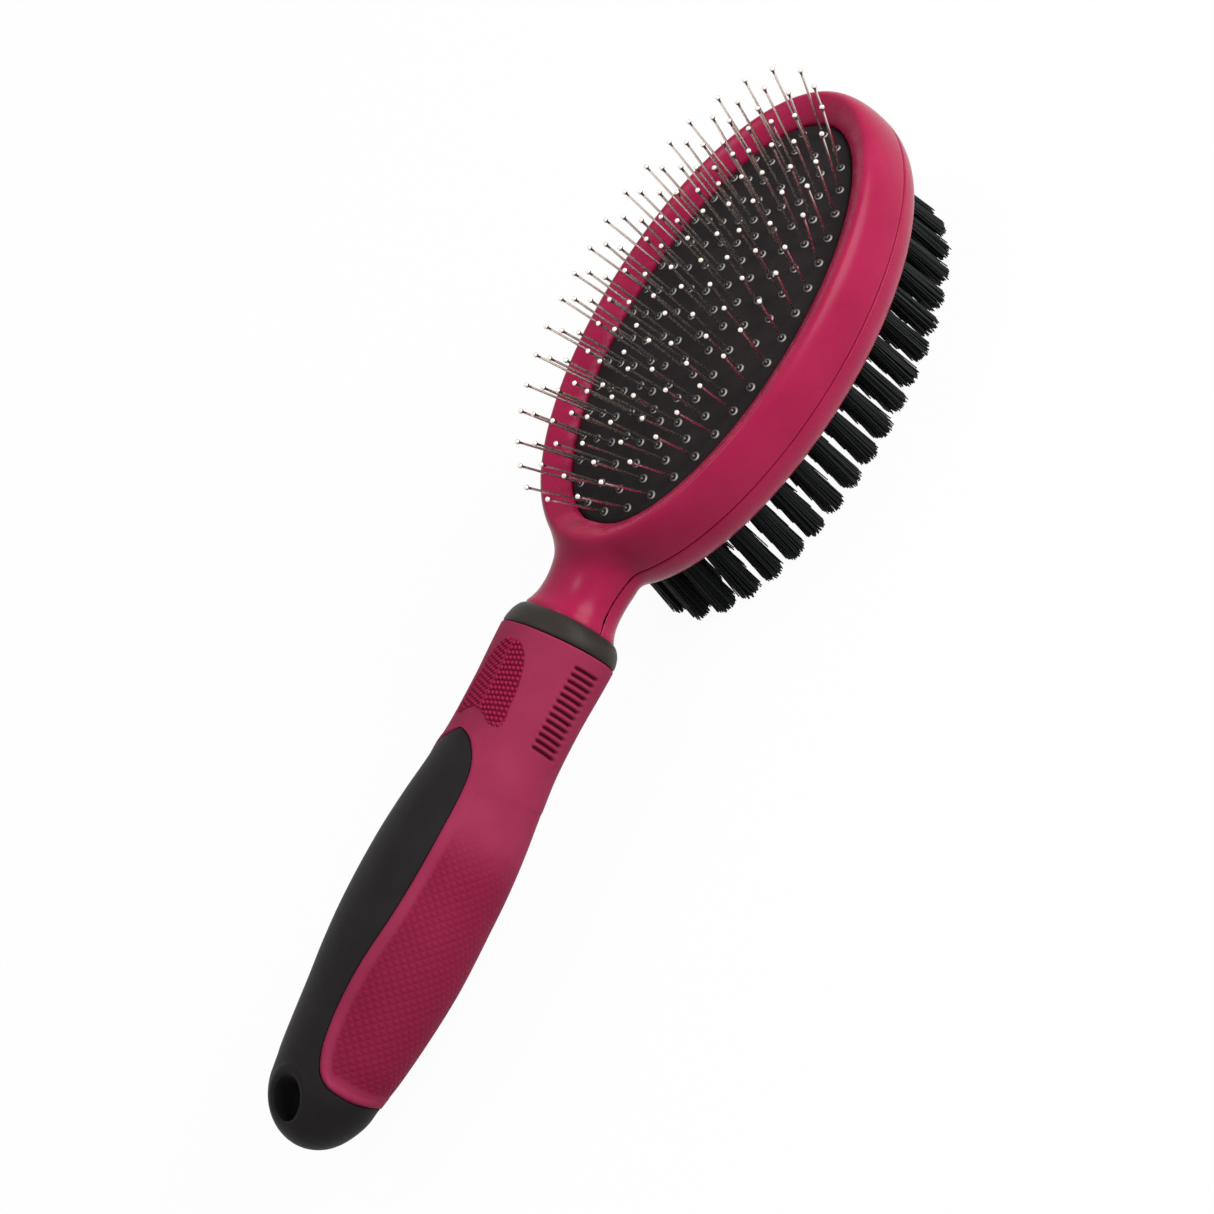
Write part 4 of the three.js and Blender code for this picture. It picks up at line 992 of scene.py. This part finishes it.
def make_thumb_pads(finishes):
    """A field of pips on each face: the grip's own surface inside a heart-shaped outline, raised by
    rows of small domes that lean away from a ridge along the middle. The border's points lie on the
    floor below, which closes the pad."""
    s = np.linspace(THUMB_START, THUMB_STOP, 170)
    half = np.interp(s, THUMB_OUTLINE[:, 0], THUMB_OUTLINE[:, 1])
    plan_y = half[:, None] * np.linspace(-1, 1, 131)[None]
    start, off = s[:, None], np.abs(plan_y)
    notch_end = 19.2 + 2.2 * smooth_step(np.abs(plan_y - 0.7), 0.5, 5.6)
    to_side = np.minimum((half[:, None] - off) * 0.9, notch_end - start)
    to_edge = np.minimum(to_side, (start - THUMB_START) * 1.2 + 0.01)
    inside = smooth_step(to_edge, 0.0, 0.5)
    column = np.round(off / PIP_COLUMN_PITCH - PIP_FIRST)
    centre_y = (column + PIP_FIRST) * PIP_COLUMN_PITCH
    shifted = start - PIP_LEAN * off + (column % 2) * PIP_PITCH / 2
    centre_s = np.round(shifted / PIP_PITCH) * PIP_PITCH
    reach = np.hypot((shifted - centre_s) / PIP_LENGTH, (off - centre_y) / PIP_WIDTH)
    pip = np.sqrt(np.maximum(1 - reach**2, 0)) * (column >= 0)
    ridge = 0.55 * (1 - smooth_step(off, 0.18, 0.45))
    rise = np.maximum(pip, ridge) * smooth_step(to_edge, 0.3, 0.6)
    out = -0.25 + inside * (0.27 + 0.36 * rise)
    out = np.where(to_edge <= 0, -0.4, out)
    rows, columns = out.shape
    skin = grid_quads(rows, columns)
    quads = np.vstack([skin, skin[:, ::-1] + rows * columns])
    border = np.ones(out.shape, bool)
    border[1:-1, 1:-1] = False
    angle = np.arccos(np.clip(off / (half_thickness(s)[:, None] * HANDLE_ASPECT), 0, 1))
    # the pips' rise also sets their painted light: lighter tops, darker ground between them
    values = {"rise": np.concatenate([rise.ravel(), np.zeros(rows * columns)])}
    for name, face in (("thumb_pips_pin_side", 1.0), ("thumb_pips_bristle_side", -1.0)):
        levels = out, np.full(out.shape, THUMB_FLOOR)
        points, floor = (handle_points(start, face * angle, level, 1.0) for level in levels)
        for surface in (points, floor):
            surface[..., 1] *= np.where(plan_y < 0, -1, 1)
        points = np.where(border[..., None], floor, points)
        both = np.vstack([points.reshape(-1, 3), floor.reshape(-1, 3)])
        piece = make_piece(name, both, quads, finishes["pips"], values, weld=1e-6, crease=70)
        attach(piece, "brush_body")


def core_half(s, opened, edge, side):
    """Points of one half of the core, from the middle of the inlay over its edge and the side to the
    other face: raised to the surface where the grip is open, sunk below it under the soft panels, and
    rolled in by a quarter circle round the hang hole, with a faint hollow round that."""
    sunk = GRIP_DEPTH + 0.25
    end = PANEL_END + INLAY_GAP
    wide = np.maximum(half_thickness(s) * HANDLE_ASPECT, 1e-6)
    middle = side * INLAY_TIP_OFF * (1 - smooth_step(s, INLAY_TIP_AT, 31.0))
    inner = np.maximum(np.interp(s, edge[:, 0] + INLAY_GAP, edge[:, 1]) - INLAY_GAP, middle + 0.05)
    covered = np.arange(len(s)) < opened
    share = np.where(covered, inner / wide, inner[opened - 1] / wide[opened - 1])
    top = np.arccos(np.clip(share, -1, 1))[:, None]
    middle = np.arccos(np.clip(middle / wide, -1, 1))[:, None]
    margin = np.minimum(np.array([[0.3, 0.16, 0.06]]) / wide[:, None], (middle - top) * 0.45)
    face = top + margin[:, :1] + np.linspace(1, 0, 26)[None] * (middle - top - margin[:, :1])
    quarter = np.hstack([face, top + margin[:, 1:3], top, top, top * np.linspace(0.97, 0, 28)[None]])
    on_face = np.concatenate([np.zeros(25), [0.02, 0.07, 0.14, 0.26], np.zeros(29)])
    side_part = np.concatenate([np.zeros(29), np.ones(29)])
    soft_end = np.zeros((len(s), 1))
    soft_end[opened : opened + 3, 0] = [0.24, 0.12, 0.04]
    out = -0.1 - covered[:, None] * (on_face[None] + side_part[None] * sunk) - soft_end * side_part[None]
    out = out + 0.1 * smooth_step(s, end, end + 2.5)[:, None]
    out[0] = -sunk
    angle = np.hstack([quarter, -quarter[:, -2::-1]])
    points = handle_points(s[:, None], angle, np.hstack([out, out[:, -2::-1]]), side)
    to_hole = np.hypot(points[..., 0] - HANG_HOLE_X, points[..., 1]) - HANG_HOLE_RADIUS
    into = np.clip(1 - to_hole / HANG_HOLE_ROLL, 0, 1)
    hollow = 0.16 * np.exp(-(((to_hole - 1.5) / 0.6) ** 2))
    roll = 0.85 * HANG_HOLE_ROLL * (1 - np.sqrt(1 - into**2)) - hollow
    points[..., 2] -= np.sign(np.sin(angle)) * roll
    return points


def make_core(finishes):
    """Core with the inlay on both faces and the butt, as rings along the handle; the hang hole is cut
    through last."""
    tip = INLAY_TIP_AT + INLAY_GAP
    end = PANEL_END + INLAY_GAP
    last = ROUND_END_START + ROUND_END_LENGTH
    s = np.concatenate([
        [tip],
        tip + np.linspace(0.12, 1.3, 12) ** 2,
        np.arange(25.4, 31.0, 0.4),
        np.arange(31.0, 90.0, 0.75),
        end - np.linspace(1.75, 0.12, 14) ** 2,
        [end, end, end + 0.05, end + 0.16, end + 0.35],
        np.arange(end + 0.6, last - 4.4, 0.3),
    ])
    s = np.concatenate([s, last - np.linspace(np.sqrt(last - s[-1]), 0, 22)[1:] ** 2])
    opened = int(np.argmax(s > end - 1e-6)) + 1
    near, far = core_half(s, opened, NEAR_EDGE, -1.0), core_half(s, opened, FAR_EDGE, 1.0)
    ring = np.concatenate([near, far[:, -2:0:-1]], axis=1)
    body = ring.reshape(-1, 3)
    quads = grid_quads(len(s), ring.shape[1], wrap_columns=True)
    start = body[: ring.shape[1]]
    middle = np.tile(start.mean(0), (ring.shape[1], 1))
    cap = (np.vstack([middle, start]), grid_quads(2, ring.shape[1], wrap_columns=True))
    points, quads = joined([(body, quads), cap])
    piece = make_piece("handle_core_skin", points, quads, finishes["inlay"])
    cut_hang_hole(piece)
    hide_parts("handle_core")
    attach(piece, "brush_body")


def cut_hang_hole(piece):
    """Cuts the round hole: a plain upright cylinder is taken from the core, and its wall keeps the
    core's finish."""
    sides = 72
    x, y = HANG_HOLE_RADIUS * np.cos(turns(sides)), HANG_HOLE_RADIUS * np.sin(turns(sides))
    rings = []
    for share, z in ((0, -HOLE_REACH), (1, -HOLE_REACH), (1, HOLE_REACH), (0, HOLE_REACH)):
        rings.append(np.column_stack([HANG_HOLE_X + share * x, share * y, np.full(sides, z)]))
    points = np.array(rings).reshape(-1, 3)
    quads = grid_quads(len(rings), sides, wrap_columns=True)
    quads = faced_outwards(points, quads)
    stock = bpy.data.meshes.new("hole")
    stock.from_pydata(((points + HEAD_CENTRE) * MILLIMETRE).tolist(), [], quads.tolist())
    merge_doubles(stock, 1e-7)
    cutter = in_scene("hole", stock)
    cut = piece.modifiers.new("hang_hole", "BOOLEAN")
    cut.operation = "DIFFERENCE"
    cut.solver = "EXACT"
    cut.object = cutter
    bpy.context.view_layer.update()
    done = bpy.data.meshes.new_from_object(piece.evaluated_get(bpy.context.evaluated_depsgraph_get()))
    piece.modifiers.clear()
    piece.data = done
    done.name = piece.name
    done.shade_smooth()
    done.set_sharp_from_angle(angle=np.radians(40))
    bpy.data.objects.remove(cutter)


def make_collar(finishes):
    """Collar: a cone that bulges a little, as squared ovals across the handle from the neck's breadth
    to the sleeve's, closed along its bore and over a recess round the neck, in planes that lean more
    towards the back."""
    angles = turns(160)
    cos, sin = np.cos(angles), np.sin(angles)
    rings = []
    for along, half, power in COLLAR_SECTION:
        x = COLLAR_FRONT - along
        wide = half + 1.3 + 0.8 * smooth_step(along, 0.0, 2.6)
        y = wide * np.sign(cos) * np.abs(cos) ** (2 / power)
        z = half * np.sign(sin) * np.abs(sin) ** (2 / power)
        lean = COLLAR_LEAN * (0.6 + 0.4 * along / COLLAR_WIDTH)
        rings.append(np.column_stack([x - lean * z, y, z + line_of_handle(x)]))
    quads = grid_quads(len(rings), len(angles), wrap_rows=True, wrap_columns=True)
    piece = make_piece("collar_skin", np.array(rings), quads, finishes["collar"])
    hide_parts("collar_ring")
    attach(piece, "brush_body")


make_camera()
make_studio()
FINISHES = make_finishes()
make_shells(FINISHES)
make_cushion(FINISHES)
make_pins(FINISHES)
make_bristles(FINISHES)
make_collar(FINISHES)
make_grip(FINISHES)
make_thumb_pads(FINISHES)
make_core(FINISHES)
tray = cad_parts["cushion_tray"]
for tray_slot in tray.material_slots:
    tray_slot.material = FINISHES["plate"].material
